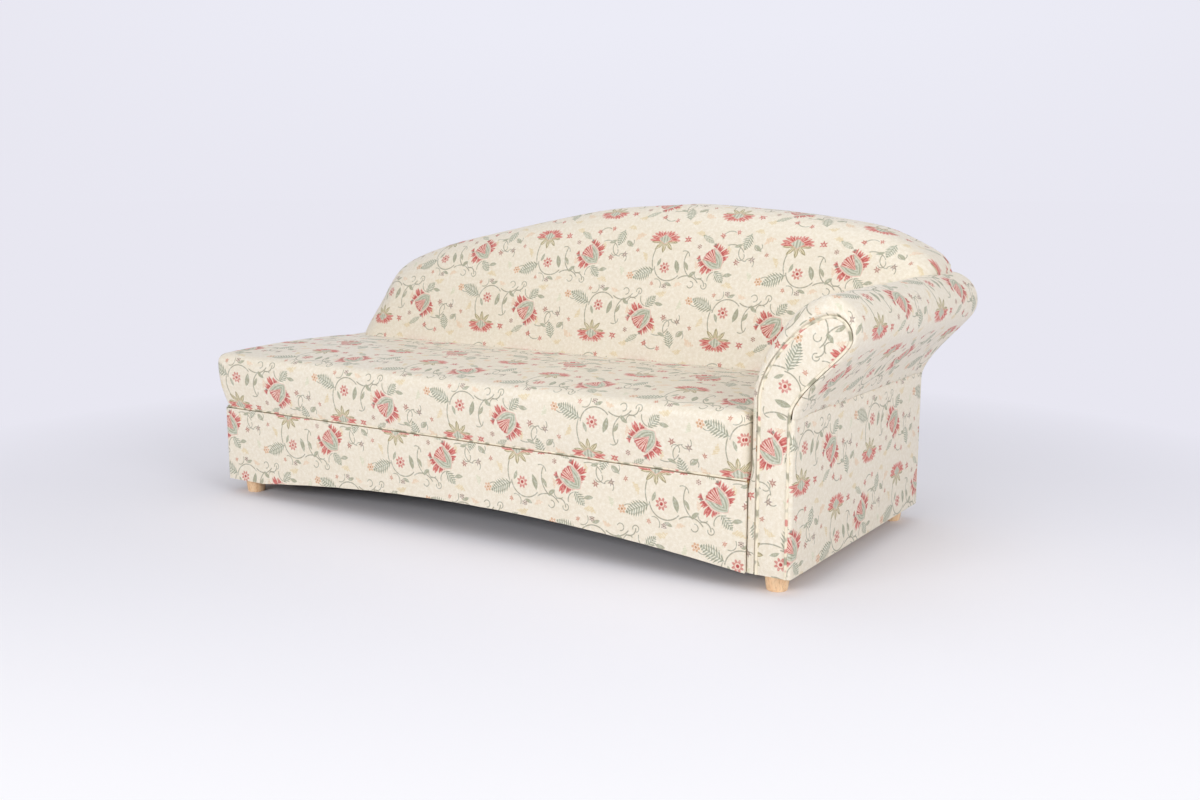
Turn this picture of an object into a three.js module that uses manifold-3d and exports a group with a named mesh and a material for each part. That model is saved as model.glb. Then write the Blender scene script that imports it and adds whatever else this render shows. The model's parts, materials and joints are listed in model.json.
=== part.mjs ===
// A three-place sofa with one rolled arm: a timber box on four turned feet, a separately
// upholstered seat slab on top of it, a camel-shaped back that falls towards both ends, and a
// scrolled arm at the right-hand end only. The left-hand end is open.
//
// Lengths are millimetres. +X runs along the sofa towards the arm, +Y towards the back, +Z up.
// The origin is on the floor, under the middle of the sofa.
import * as THREE from "three";
import { mergeVertices } from "three/addons/utils/BufferGeometryUtils.js";
import Module from "manifold-3d";

const wasm = await Module();
wasm.setup();

// Overall sizes
const seatLength = 1833; // open end of the box to the inner face of the arm
const depth = 880; // face of the box to the outside back
const footHeight = 46;
const boxHeight = 228; // underside of the box to the seam below the seat
const seatThickness = 171; // seam to the top edge of the seat
const backBase = 302; // thickness of the back where the seat meets it
const crestDepth = 165; // thickness of the back at the level of its highest point
const backHeight = 909; // floor to the highest point of the back
const armWidth = 117; // inner face to outer face of the arm's column
const rollReach = 152; // how far the roll of the arm leans out past the column
const tipReach = 84; // how far the back runs over the arm, past the column

// Fits, and values that all pieces share
const fit = 0.3; // gap left between two pieces that touch
const overrun = 5; // how far a cutting body runs past what it cuts
const easedEdge = 2; // flat taken off the long edges of a timber
const weld = 1e-4; // points nearer than this are one point
const barSides = 12; // sides of bolts and screws

// Seat slab
const seatFlareEnd = 30; // how far the slab swells past the box at the open end
const seatFlareFront = 16; // and past the face of the box
const seatEdgeRound = 34;
const seatCornerRound = 22;
const seatLift = 9; // the top rises this much between the front edge and the back
const seatCrown = 8; // and this much more in the middle
const seatCrownReach = 280;
const slabSpan = 195; // longest step between two points of the slab's outline
const cornerSteps = 5;
const cornerRoomShare = 0.8; // share of a corner's radius that the edge rounding may use up
const seatTuck = 95; // how far the slab runs in under the foot of the back
const seatSkin = 15; // foam and cloth outside the slab's timber frame

// Timber frame and wire springs of the seat
const seatRailHeight = 45;
const seatRailThickness = 25;
const seatCrossCount = 2;
const springCount = 10;
const springWire = 4;
const springWidth = 44;
const springWaves = 8;
const stepsPerWave = 6;
const springArch = 22; // how much the springs rise at mid length
const springSeat = 16; // how far each spring end lies on its rail
const springEndGap = 95; // first and last spring to the end of the frame
const tieWire = 3;
const wireSides = 4;
const tieShares = [9 / 32, 21 / 32]; // crests of the waves at which a tie wire crosses the springs

// Timber box
const railThickness = 22;
const coverThickness = 8; // wadding and cloth over the timber
const archRise = 50; // height of the long arch cut under the front
const archInset = 156; // flat part under the open end, before the arch starts
const archEndInset = 8;
const archSteps = 18;
const crossCount = 3;
const crossUnderside = 54; // the cross rails sit this far above the underside of the box
const dustCoverThickness = 2;
const blockSize = 62;
const blockHeight = 40;

// Feet, bolts and screws
const footTopRadius = 31.5;
const footBottomRadius = 25;
const footChamfer = 2;
const footSides = 32;
const footInsetX = 58;
const footInsetY = 53;
const boltRadius = 4;
const boltInFoot = 28;
const boltInBlock = 30;
const boltHeadRadius = 10;
const boltCrownShare = 0.7; // flat crown of the head, as a share of the head's radius
const boltHeadHeight = 3;
const nutRadius = 8;
const nutSides = 6;
const nutHeight = 6;
const armBoltInset = 150; // first and last arm bolt to the timber's ends
const armBoltCount = 2;
const screwRadius = 2.5;
const screwHeadRadius = 5;
const screwHeadHeight = 3;
const screwGrip = 38; // how far a screw runs into the timber below
const screwInset = 260; // first and last screw to the timber's ends
const screwCount = 2;

// Scroll of the arm: reaches count from the column's outer face, heights from the floor
const rollCrownRise = 80; // tip to the highest line of the roll
const rollCrownReach = 68;
const rollTipHeight = 652;
const rollUnderReach = 132;
const rollLipDrop = 49; // tip to the corner under it
const rollNeckHeight = 425;
const rollSpringHeight = 480;

// Padding between the scroll boards and the skin of the arm
const padInner = 23;
const padTop = 43;
const padTip = 15;
const padUnder = 13;
const padOuter = 10;
const padCrownShift = 20; // the boards' crown lies further out than the skin's
const padTipDrop = 16;
const padNeckRise = 20;
const shoulderDepth = 36; // rounded front edge of the padding
const shoulderLipShare = 0.16;
const facingThickness = 10;
const facingBevel = 3;
const pipingRadius = 3.2;
const pipingSides = 8;
const boardThickness = 22;
const rollSheetThickness = 3.2;
const creaseRise = 13; // the roll's cloth ends this far above the neck, at the flat outside cover
const outsideCoverRound = 8;
const rearCoverInset = 4;
const rearCoverBevel = 2.5;
const armRailWidth = 30;
const armRailDrop = 5;

// Back
const backCrown = 16;
const backCrownReach = 230;
const backEdgeRound = 85; // front edge of the crest
const backEndRound = 150; // front edge at the open end, which is much softer
const backEndBlend = 420; // length over which one rounding becomes the other
const backEndRise = 150; // height over which the end's rounding grows from the seat up
const backRearRound = 18;
const backRearInset = 8;
const backWall = 46; // foam between the crest and the frame
const backEndWall = 96; // and at the open end, where the front edge is softer
const backArmWall = 22; // foam between the frame and the arm
const backFoam = 106; // foam in front of the frame at the seat
const liningThickness = 2;
const uprightThickness = 18;
const uprightCount = 4;
const crestRailHeight = 60;
const crestRailThickness = 18;
const bottomRailThickness = 22;
const uprightHead = 45; // depth of an upright at the highest point of the frame
const outsideCoverInset = 10; // the outside cover stops this far short of the back's edge
const crestSteps = 90;
const frameStride = 3; // the frame follows every third point of the crest
const coverStride = 2;

// Line of the crest from the open end to the tip over the arm: shares of the back's length,
// and of its height above the seat
const crestShares = [
  [0, 0], [0.0134, 0.22], [0.0292, 0.4], [0.0575, 0.541], [0.128, 0.652],
  [0.2126, 0.742], [0.362, 0.88], [0.471, 0.962], [0.573, 0.993], [0.622, 1],
  [0.744, 0.968], [0.85, 0.918], [0.914, 0.864], [0.9757, 0.745], [0.993, 0.68], [1, 0.6],
];
// Places along the back at which its section is drawn, as shares of its length
const stationShares = [
  0, 0.002, 0.006, 0.0134, 0.021, 0.0292, 0.042, 0.0575, 0.075, 0.1, 0.128, 0.17, 0.2126, 0.28,
  0.362, 0.42, 0.471, 0.52, 0.573, 0.622, 0.68, 0.744, 0.8, 0.85, 0.885, 0.914, 0.94, 0.96,
  0.9757, 0.986, 0.993, 0.998, 1,
];
// Swell of the seat slab's sides: height share, and share of the flare reached there
const swellShares = [[0, 0.05], [0.1, 0.34], [0.4, 0.7], [0.74, 0.95], [0.95, 1]];
// Turns of a rounded edge at which it is drawn, as shares of a quarter circle
const turnShares = [0.3, 0.58, 0.82, 1];
const crownShares = [0.22, 0.5, 0.78];
// Handles of the curves in the arm's scroll
const scrollRiseShare = 0.38;
const scrollLeanShare = 0.395;
const scrollTuckShare = 0.36;
const underRunShare = 0.4;
const underFallShare = 0.34;
const neckRunShare = 0.05;
const neckFallShare = 0.31;
const quarterShare = 0.5523; // handle of a quarter circle
const scrollSteps = [1, 12, 8, 3, 9, 1]; // points on each stretch of the scroll
const railLowerShare = 0.6;

// Levels and faces that the pieces share
const half = fit / 2;
const seatDepth = depth - backBase; // face of the box to the foot of the back
const overallLength = seatFlareEnd + seatLength + armWidth + rollReach;
const xLeft = seatFlareEnd - overallLength / 2;
const xArm = xLeft + seatLength;
const xOuter = xArm + armWidth;
const xTip = xOuter + tipReach;
const yFront = (seatFlareFront - depth) / 2;
const yRear = yFront + depth;
const seamLevel = footHeight + boxHeight;
const creaseHeight = rollNeckHeight + creaseRise;
const rollTop = rollTipHeight + rollCrownRise;
const rollUnderHeight = rollTipHeight - rollLipDrop;
const seatLevel = seamLevel + seatThickness;
const yBack = yFront + seatDepth;
const ySeatEnd = yBack + seatTuck;
const seatPeak = seatLevel + seatLift + seatCrown;
const yInside = yFront + coverThickness; // faces of the timber inside its covers
const xInside = xLeft + coverThickness;
const yOutside = yRear - coverThickness;
const rakeSlope = (backBase - crestDepth) / (backHeight - seatLevel);

// Colours and finishes
const cloth = new THREE.MeshStandardMaterial({ color: 0xe9dfc6, roughness: 0.85 });
const pipingCloth = new THREE.MeshStandardMaterial({ color: 0xddd0b2, roughness: 0.85 });
const beech = new THREE.MeshStandardMaterial({ color: 0xd9a066, roughness: 0.5 });
const timber = new THREE.MeshStandardMaterial({ color: 0xc9a878, roughness: 0.8 });
const steel = new THREE.MeshStandardMaterial({ color: 0x8d9196, roughness: 0.35, metalness: 0.9 });
const lining = new THREE.MeshStandardMaterial({ color: 0x2a2a2c, roughness: 0.95 });

const sofa = new THREE.Group();

function add(name, geometry, material) {
  const mesh = new THREE.Mesh(geometry, material);
  mesh.name = name;
  sofa.add(mesh);
}

// Joining and cutting closed bodies
function toSolid(geometry) {
  const bare = geometry.clone();
  bare.deleteAttribute("normal");
  bare.deleteAttribute("uv");
  const merged = mergeVertices(bare, weld);
  const vertProperties = new Float32Array(merged.attributes.position.array);
  const triVerts = new Uint32Array(merged.index.array);
  return new wasm.Manifold(new wasm.Mesh({ numProp: 3, vertProperties, triVerts }));
}

function toGeometry(solid) {
  const mesh = solid.getMesh();
  const geometry = new THREE.BufferGeometry();
  geometry.setAttribute("position", new THREE.BufferAttribute(mesh.vertProperties.slice(), 3));
  geometry.setIndex(new THREE.BufferAttribute(mesh.triVerts.slice(), 1));
  geometry.computeVertexNormals();
  return geometry;
}

function cut(geometry, ...tools) {
  return toGeometry(tools.reduce((rest, tool) => rest.subtract(toSolid(tool)), toSolid(geometry)));
}

function join(first, ...others) {
  return toGeometry(others.reduce((sum, other) => sum.add(toSolid(other)), toSolid(first)));
}

function keep(geometry, region) {
  return toGeometry(toSolid(geometry).intersect(toSolid(region)));
}

// A body from points and triangles, turned so that its faces point out
function closedBody(points, index) {
  let sixVolumes = 0;
  for (let i = 0; i < index.length; i += 3) {
    const [a, b, c] = [points[index[i]], points[index[i + 1]], points[index[i + 2]]];
    sixVolumes += a.dot(new THREE.Vector3().crossVectors(b, c));
  }
  const triangles = index.slice();
  if (sixVolumes < 0) {
    triangles.reverse();
  }
  const geometry = new THREE.BufferGeometry().setFromPoints(points);
  geometry.setIndex(triangles);
  geometry.computeVertexNormals();
  return geometry;
}

// A closed body through rings that all have the same number of points. view turns a point of
// an end ring into the plane in which that end is filled.
function loft(rings, view) {
  const count = rings[0].length;
  const index = [];
  for (let r = 0; r + 1 < rings.length; r++) {
    for (let i = 0; i < count; i++) {
      const j = (i + 1) % count;
      const [a, b, c, d] = [r * count + i, r * count + j, (r + 1) * count + j, (r + 1) * count + i];
      index.push(a, b, c, a, c, d);
    }
  }
  const fill = (ring, start, inwards) => {
    const contour = ring.map(view);
    const turned = THREE.ShapeUtils.isClockWise(contour) !== inwards;
    for (const [u, v, w] of THREE.ShapeUtils.triangulateShape(contour, [])) {
      index.push(start + u, start + (turned ? w : v), start + (turned ? v : w));
    }
  };
  fill(rings[0], 0, true);
  fill(rings[rings.length - 1], (rings.length - 1) * count, false);
  return closedBody(rings.flat(), index);
}

const fromAbove = (p) => new THREE.Vector2(p.x, p.y);
const fromFront = (p) => new THREE.Vector2(p.x, p.z);
const fromEnd = (p) => new THREE.Vector2(p.y, p.z);

// An outline given its thickness: drawn from the front as (x, z), from the end as (y, z), or
// from above as (x, y)
function frontPlate(outline, y0, y1) {
  return loft([y0, y1].map((y) => outline.map((p) => new THREE.Vector3(p.x, y, p.y))), fromFront);
}

function endPlate(outline, x0, x1) {
  return loft([x0, x1].map((x) => outline.map((p) => new THREE.Vector3(x, p.x, p.y))), fromEnd);
}

function flatPlate(outline, z0, z1) {
  return loft([z0, z1].map((z) => outline.map((p) => new THREE.Vector3(p.x, p.y, z))), fromAbove);
}

function points2(pairs) {
  return pairs.map(([a, b]) => new THREE.Vector2(a, b));
}

// Rectangle with its corners taken off, drawn half a fit inside its nominal size
function timberSection(a0, a1, b0, b1) {
  const [l, r, low, high, e] = [a0 + half, a1 - half, b0 + half, b1 - half, easedEdge];
  return points2([[l + e, low], [r - e, low], [r, low + e], [r, high - e],
    [r - e, high], [l + e, high], [l, high - e], [l, low + e]]);
}

function timberAlongX(x0, x1, y0, y1, z0, z1) {
  return endPlate(timberSection(y0, y1, z0, z1), x0 + half, x1 - half);
}

function timberAlongY(x0, x1, y0, y1, z0, z1) {
  return frontPlate(timberSection(x0, x1, z0, z1), y0 + half, y1 - half);
}

// A plain block between two corners, each face moved out by grow
function block(x0, x1, y0, y1, z0, z1, grow = -half) {
  const size = [x1 - x0 + 2 * grow, y1 - y0 + 2 * grow, z1 - z0 + 2 * grow];
  return new THREE.BoxGeometry(...size).translate((x0 + x1) / 2, (y0 + y1) / 2, (z0 + z1) / 2);
}

// A turned piece with an upright axis through (x, y), its profile points being (radius, z)
function turnedPiece(profile, x, y, segments) {
  const lathe = new THREE.LatheGeometry(points2(profile), segments).rotateX(Math.PI / 2);
  const merged = toGeometry(toSolid(outwards(lathe)));
  return merged.translate(x, y, 0);
}

// A closed geometry whose triangles are turned round if they face inwards
function outwards(geometry) {
  const bare = geometry.clone();
  bare.deleteAttribute("normal");
  bare.deleteAttribute("uv");
  const merged = mergeVertices(bare, weld);
  const places = merged.attributes.position;
  const points = Array.from({ length: places.count }, (_, i) => {
    return new THREE.Vector3().fromBufferAttribute(places, i);
  });
  const index = Array.from(merged.index.array);
  const kept = [];
  for (let i = 0; i < index.length; i += 3) {
    const [a, b, c] = [index[i], index[i + 1], index[i + 2]];
    if (a !== b && b !== c && c !== a) {
      kept.push(a, b, c);
    }
  }
  return closedBody(points, kept);
}

function rod(radius, x, y, z0, z1, segments = barSides) {
  return turnedPiece([[0, z0], [radius, z0], [radius, z1], [0, z1]], x, y, segments);
}

// Every point of a closed outline moved outwards by a distance, along the mean of its edges
function offsetOutline(outline, distance) {
  const sign = THREE.ShapeUtils.isClockWise(outline) ? -1 : 1;
  return outline.map((p, i) => {
    const before = outline[(i + outline.length - 1) % outline.length];
    const after = outline[(i + 1) % outline.length];
    const a = new THREE.Vector2().subVectors(p, before).normalize();
    const b = new THREE.Vector2().subVectors(after, p).normalize();
    const mean = new THREE.Vector2().addVectors(a, b).normalize();
    const reach = (distance * sign) / mean.dot(a);
    return new THREE.Vector2(p.x + mean.y * reach, p.y - mean.x * reach);
  });
}

// Points of a chain of curves, each sampled in its own number of steps
function samplePath(path, steps) {
  const inner = path.curves.flatMap((curve, i) => curve.getPoints(steps[i]).slice(0, -1));
  return [...inner, path.curves[path.curves.length - 1].getPoint(1)];
}

function smooth(share) {
  const t = THREE.MathUtils.clamp(share, 0, 1);
  return t * t * (3 - 2 * t);
}

// Timber box

// Front of the box seen square on: a straight seam above, a long shallow arch below
function archedOutline(x0, x1, grow) {
  const archLeft = xLeft + archInset;
  const archRight = xArm - archEndInset;
  const low = footHeight - grow;
  const path = new THREE.Path();
  path.moveTo(x0 - grow, low);
  path.lineTo(archLeft, low);
  path.quadraticCurveTo((archLeft + archRight) / 2, low + 2 * archRise, archRight, low);
  path.lineTo(x1 + grow, low);
  path.lineTo(x1 + grow, seamLevel + grow);
  path.lineTo(x0 - grow, seamLevel + grow);
  return samplePath(path, [1, archSteps, 1, 1, 1]);
}

const yRailsFront = yInside + railThickness;
const yRailsRear = yOutside - railThickness;

const seatScrewY = (yFront + seatSkin + yRailsFront) / 2;
const backScrewY = (yRailsRear + yOutside) / 2;
const screwPlaces = spread(xInside, xArm, screwInset, screwCount);
const armBoltPlaces = spread(yRailsFront, yRailsRear, armBoltInset, armBoltCount);
const armBoltLevel = footHeight + boxHeight / 2;

function spread(start, end, inset, count) {
  return Array.from({ length: count }, (_, i) => {
    return start + inset + ((end - start - 2 * inset) * i) / Math.max(count - 1, 1);
  });
}

// A wood screw standing in (x, y) with its head flush at a level, and the hole it needs
function screw(x, y, top, length) {
  const [r, head] = [screwRadius, top - half];
  const profile = [[0, top - length], [r, top - length + 2 * r], [r, head - screwHeadHeight],
    [screwHeadRadius, head], [0, head]];
  return turnedPiece(profile, x, y, barSides);
}

function screwHole(x, y, top, length) {
  const r = screwRadius + fit;
  const [bottom, neck] = [top - length - fit, top - half - screwHeadHeight];
  const wide = screwHeadRadius + fit;
  const profile = [[0, bottom], [r, bottom], [r, neck - fit], [wide, top - half - fit],
    [wide, top + overrun], [0, top + overrun]];
  return turnedPiece(profile, x, y, barSides);
}

const seatScrewLength = seatRailHeight + screwGrip;
const seatScrewTop = seamLevel + seatRailHeight;
const backScrewLength = bottomRailThickness + screwGrip;
const backScrewTop = seamLevel + bottomRailThickness;

function buildBox() {
  const frontRail = frontPlate(archedOutline(xInside, xArm, -half), yInside + half, yRailsFront - half);
  const seatHoles = screwPlaces.map((x) => screwHole(x, seatScrewY, seatScrewTop, seatScrewLength));
  add("base_front_rail", cut(frontRail, ...seatHoles), timber);

  const rearRail = timberAlongX(xInside, xArm, yRailsRear, yOutside, footHeight, seamLevel);
  const backHoles = screwPlaces.map((x) => screwHole(x, backScrewY, backScrewTop, backScrewLength));
  add("base_rear_rail", cut(rearRail, ...backHoles), timber);

  const xLeftRail = xInside + railThickness;
  const xRightRail = xArm - railThickness;
  const leftRail = timberAlongY(xInside, xLeftRail, yRailsFront, yRailsRear, footHeight, seamLevel);
  add("base_left_end_rail", leftRail, timber);
  const rightRail = timberAlongY(xRightRail, xArm, yRailsFront, yRailsRear, footHeight, seamLevel);
  add("base_right_end_rail", cut(rightRail, ...armBoltPlaces.map(armBoltHole)), timber);

  const crossLow = footHeight + crossUnderside;
  for (let i = 1; i <= crossCount; i++) {
    const x = xLeftRail + ((xRightRail - xLeftRail) * i) / (crossCount + 1) - railThickness / 2;
    const rail = timberAlongY(x, x + railThickness, yRailsFront, yRailsRear, crossLow, seamLevel);
    add(`base_cross_rail_${i}`, rail, timber);
  }

  const blockTop = footHeight + blockHeight;
  const blocks = {
    front: [yRailsFront, yRailsFront + blockSize, yFront + footInsetY],
    rear: [yRailsRear - blockSize, yRailsRear, yRear - footInsetY],
  };
  for (const [place, [y0, y1, yBolt]] of Object.entries(blocks)) {
    const body = timberAlongY(xLeftRail, xLeftRail + blockSize, y0, y1, footHeight, blockTop);
    add(`corner_block_${place}`, cut(body, footBoltHole(xLeft + footInsetX, yBolt)), timber);
  }

  const corner = roundedCorners(xLeft, xArm, yFront, yRear, coverThickness);
  const region = flatPlate(corner, 0, seatLevel);
  const face = frontPlate(archedOutline(xLeft, xArm, -half), yFront, yInside - half);
  add("base_front_cover", keep(face, region), cloth);
  const end = block(xLeft, xInside, yInside, yOutside, footHeight, seamLevel);
  add("base_left_cover", end, cloth);
  const rear = block(xLeft, xArm, yOutside, yRear, footHeight, seamLevel);
  add("base_rear_cover", keep(rear, region), cloth);

  const sheet = block(xLeftRail, xRightRail, yRailsFront, yRailsRear,
    crossLow - dustCoverThickness, crossLow);
  add("dust_cover", sheet, lining);
}

// Plan outline of the box: its two corners at the open end are rounded
function roundedCorners(x0, x1, y0, y1, radius) {
  const path = new THREE.Path();
  path.moveTo(x1, y1);
  path.lineTo(x0 + radius, y1);
  path.absarc(x0 + radius, y1 - radius, radius, Math.PI / 2, Math.PI, false);
  path.lineTo(x0, y0 + radius);
  path.absarc(x0 + radius, y0 + radius, radius, Math.PI, Math.PI * 1.5, false);
  path.lineTo(x1, y0);
  return samplePath(path, [1, cornerSteps, 1, cornerSteps, 1]);
}

// Feet

function footBoltHole(x, y) {
  return rod(boltRadius + fit, x, y, footHeight - overrun, footHeight + boltInBlock + fit);
}

function buildFeet() {
  const places = {
    front_left: [xLeft + footInsetX, yFront + footInsetY],
    rear_left: [xLeft + footInsetX, yRear - footInsetY],
    front_right: [xOuter - footInsetX, yFront + footInsetY],
    rear_right: [xOuter - footInsetX, yRear - footInsetY],
  };
  const holeRadius = boltRadius + fit;
  const top = footHeight - half;
  for (const [place, [x, y]] of Object.entries(places)) {
    const profile = [
      [0, 0], [footBottomRadius - footChamfer, 0], [footBottomRadius, footChamfer],
      [footTopRadius, top - footChamfer], [footTopRadius - footChamfer / 2, top],
      [holeRadius, top], [holeRadius, footHeight - boltInFoot - fit],
      [0, footHeight - boltInFoot - fit],
    ];
    add(`foot_${place}`, turnedPiece(profile, x, y, footSides), beech);
    const [low, high, r] = [footHeight - boltInFoot, footHeight + boltInBlock, boltRadius];
    const bolt = [[0, low], [r / 2, low], [r, low + r], [r, high - r], [r / 2, high], [0, high]];
    add(`foot_bolt_${place}`, turnedPiece(bolt, x, y, barSides), steel);
  }
}

// Seat slab

const seatFrameLeft = xLeft + seatSkin;
const seatFrameRight = xArm - seatSkin;
const seatFrameFront = yFront + seatSkin;
const seatFrameRear = ySeatEnd - seatSkin;
const springLevel = seatScrewTop + (springWire / 2) * Math.cos(Math.PI / wireSides);

function buildSeatFrame() {
  const [low, high] = [seamLevel, seatScrewTop];
  const innerFront = seatFrameFront + seatRailThickness;
  const innerRear = seatFrameRear - seatRailThickness;
  const front = timberAlongX(seatFrameLeft, seatFrameRight, seatFrameFront, innerFront, low, high);
  const holes = screwPlaces.map((x) => screwHole(x, seatScrewY, seatScrewTop, seatScrewLength));
  add("seat_frame_front_rail", cut(front, ...holes), timber);
  const rear = timberAlongX(seatFrameLeft, seatFrameRight, innerRear, seatFrameRear, low, high);
  add("seat_frame_rear_rail", rear, timber);
  const innerLeft = seatFrameLeft + seatRailThickness;
  const innerRight = seatFrameRight - seatRailThickness;
  const left = timberAlongY(seatFrameLeft, innerLeft, innerFront, innerRear, low, high);
  add("seat_frame_left_rail", left, timber);
  const right = timberAlongY(innerRight, seatFrameRight, innerFront, innerRear, low, high);
  add("seat_frame_right_rail", right, timber);
  const crossTop = high - springWire * 2;
  for (let i = 1; i <= seatCrossCount; i++) {
    const x = innerLeft + ((innerRight - innerLeft) * i) / (seatCrossCount + 1);
    const rail = timberAlongY(x - seatRailThickness / 2, x + seatRailThickness / 2, innerFront,
      innerRear, low, crossTop);
    add(`seat_frame_cross_rail_${i}`, rail, timber);
  }
  screwPlaces.forEach((x, i) => {
    add(`seat_screw_${i + 1}`, screw(x, seatScrewY, seatScrewTop, seatScrewLength), steel);
  });
}

// A wire through points that run mostly level, with a flat cap at each end
function wire(points, radius) {
  const up = new THREE.Vector3(0, 0, 1);
  const rings = points.map((p, i) => {
    const before = points[Math.max(i - 1, 0)];
    const after = points[Math.min(i + 1, points.length - 1)];
    const along = new THREE.Vector3().subVectors(after, before).normalize();
    const across = new THREE.Vector3().crossVectors(along, up).normalize();
    const over = new THREE.Vector3().crossVectors(across, along);
    return Array.from({ length: wireSides }, (_, k) => {
      const turn = (Math.PI * (2 * k + 1)) / wireSides;
      return p.clone().addScaledVector(across, radius * Math.cos(turn))
        .addScaledVector(over, radius * Math.sin(turn));
    });
  });
  const axis = new THREE.Vector3().subVectors(points[1], points[0]).normalize();
  const right = new THREE.Vector3().crossVectors(axis, up).normalize();
  const upright = new THREE.Vector3().crossVectors(right, axis);
  return loft(rings, (p) => new THREE.Vector2(p.dot(right), p.dot(upright)));
}

// A zigzag spring arches from the front rail to the rear rail: a sine wave in plan, half a
// sine in height. Its two ends run straight onto the rails.
function springPoint(xMiddle, share) {
  const start = seatFrameFront + seatRailThickness;
  const end = seatFrameRear - seatRailThickness;
  const side = (springWidth / 2) * Math.sin(2 * Math.PI * springWaves * share);
  const rise = springArch * Math.sin(Math.PI * share);
  return new THREE.Vector3(xMiddle + side, start + (end - start) * share, springLevel + rise);
}

function springLine(xMiddle) {
  const steps = springWaves * stepsPerWave;
  const points = Array.from({ length: steps + 1 }, (_, i) => springPoint(xMiddle, i / steps));
  const first = points[0].clone();
  first.y -= springSeat;
  const last = points[steps].clone();
  last.y += springSeat;
  return [first, ...points, last];
}

function buildSprings() {
  const places = spread(seatFrameLeft, seatFrameRight, springEndGap, springCount);
  const springs = places.map((x) => wire(springLine(x), springWire / 2));
  const ties = tieShares.map((share) => {
    const [first, last] = [places[0], places[springCount - 1]];
    return wire([springPoint(first, share), springPoint(last, share)].map((p, i) => {
      p.x += i === 0 ? -springWidth : springWire;
      return p;
    }), tieWire / 2);
  });
  add("seat_springs", join(springs[0], ...ties, ...springs.slice(1)), steel);
}

// Plan outline of the slab with the direction in which each point faces. The rear side and
// the side by the arm run straight and don't swell. Where the rounding of the top edge draws a
// corner in by more than its room, it goes on along the mitre.
function slabOutline() {
  const corners = [
    [xArm - half, yFront, seatEdgeRound / 2, -Math.PI / 2, 0],
    [xArm - half, ySeatEnd - half, 0, 0, 0],
    [xLeft, ySeatEnd - half, 0, 0, 0],
    [xLeft, yFront, seatCornerRound, Math.PI, Math.PI * 1.5],
  ];
  const outline = [];
  for (const [x, y, radius, from, to] of corners) {
    const steps = radius > 0 ? cornerSteps : 0;
    const middle = new THREE.Vector2(x + (x > 0 ? -radius : radius), y + (y > 0 ? -radius : radius));
    for (let i = 0; i <= steps; i++) {
      const turn = from + ((to - from) * i) / Math.max(steps, 1);
      const out = radius > 0 ? new THREE.Vector2(Math.cos(turn), Math.sin(turn)) : new THREE.Vector2();
      const mitre = new THREE.Vector2(Math.sign(x), Math.sign(y));
      const place = middle.clone().addScaledVector(out, radius);
      outline.push({ place, out, mitre, room: radius * cornerRoomShare });
    }
  }
  return divideSides(outline);
}

// Long sides of the slab get points of their own, so that its crown can follow them
function divideSides(outline) {
  return outline.flatMap((point, i) => {
    const next = outline[(i + 1) % outline.length];
    const run = new THREE.Vector2().subVectors(next.place, point.place);
    const steps = Math.max(Math.round(run.length() / slabSpan), 1);
    const side = new THREE.Vector2(run.y, -run.x).normalize();
    const free = side.x < -Math.SQRT1_2 || side.y < -Math.SQRT1_2 ? side : new THREE.Vector2();
    const added = Array.from({ length: steps - 1 }, (_, k) => ({
      place: point.place.clone().addScaledVector(run, (k + 1) / steps),
      out: free,
      mitre: free,
      room: 0,
    }));
    const first = point.out.length() > 0 ? point : { ...point, out: free, mitre: free };
    return [first, ...added];
  });
}

// Rounding at the slab's top edge is drawn in on the free sides and by the arm
function slabRing(outline, swell, inset, z) {
  return outline.map(({ place, out, mitre, room }) => {
    const near = Math.min(inset, room);
    const drawnIn = out.clone().multiplyScalar(near).addScaledVector(mitre, inset - near);
    const flareX = mitre.x < 0 ? mitre.x * seatFlareEnd * swell : 0;
    const flareY = mitre.y < 0 ? mitre.y * seatFlareFront * swell : 0;
    const x = Math.min(place.x + flareX - drawnIn.x, xArm - half - inset * smoothSide(place));
    return new THREE.Vector3(x, place.y + flareY - drawnIn.y, z);
  });
}

// The slab's edge by the arm is rounded along its length, less at the back
function smoothSide(place) {
  return 1 - smooth((place.y - yFront) / seatDepth) / 2;
}

// A point of the slab's top raised by its place between the front edge and the back
function lifted(point, share) {
  const across = THREE.MathUtils.clamp((point.y - yFront) / seatDepth, 0, 1);
  point.z += seatLift * share * Math.sin(Math.PI * across);
  return point;
}

function buildSeatPad() {
  const outline = slabOutline();
  const low = seamLevel + half;
  const lastSwell = swellShares[swellShares.length - 1][1];
  const edgeStart = seatLevel - seatEdgeRound;
  const rings = swellShares.map(([height, swell]) => {
    return slabRing(outline, swell, 0, low + (edgeStart - low) * height);
  });
  for (const turn of turnShares) {
    const angle = (turn * Math.PI) / 2;
    const inset = seatEdgeRound * (1 - Math.cos(angle));
    const level = edgeStart + seatEdgeRound * Math.sin(angle);
    rings.push(slabRing(outline, lastSwell, inset, level).map((p) => lifted(p, Math.sin(angle))));
  }
  const edge = rings[rings.length - 1];
  const middle = (yFront + ySeatEnd) / 2;
  for (const share of crownShares) {
    rings.push(edge.map((p) => {
      const x = THREE.MathUtils.clamp(p.x, xLeft + seatCrownReach, xArm - seatCrownReach);
      const z = seatLevel + seatCrown * Math.sin((share * Math.PI) / 2);
      return lifted(new THREE.Vector3(p.x + (x - p.x) * share, p.y + (middle - p.y) * share, z), 1);
    }));
  }
  const pocket = block(seatFrameLeft, seatFrameRight, seatFrameFront, seatFrameRear,
    seamLevel - overrun, seatScrewTop + springWire + springArch + fit, half);
  const flatFoot = block(xLeft - seatFlareEnd, xArm, yBack, ySeatEnd + overrun, seatLevel,
    seatPeak + overrun, 0);
  add("seat_pad", cut(loft(rings, fromAbove), pocket, flatFoot), cloth);
}

// Arm

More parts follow.
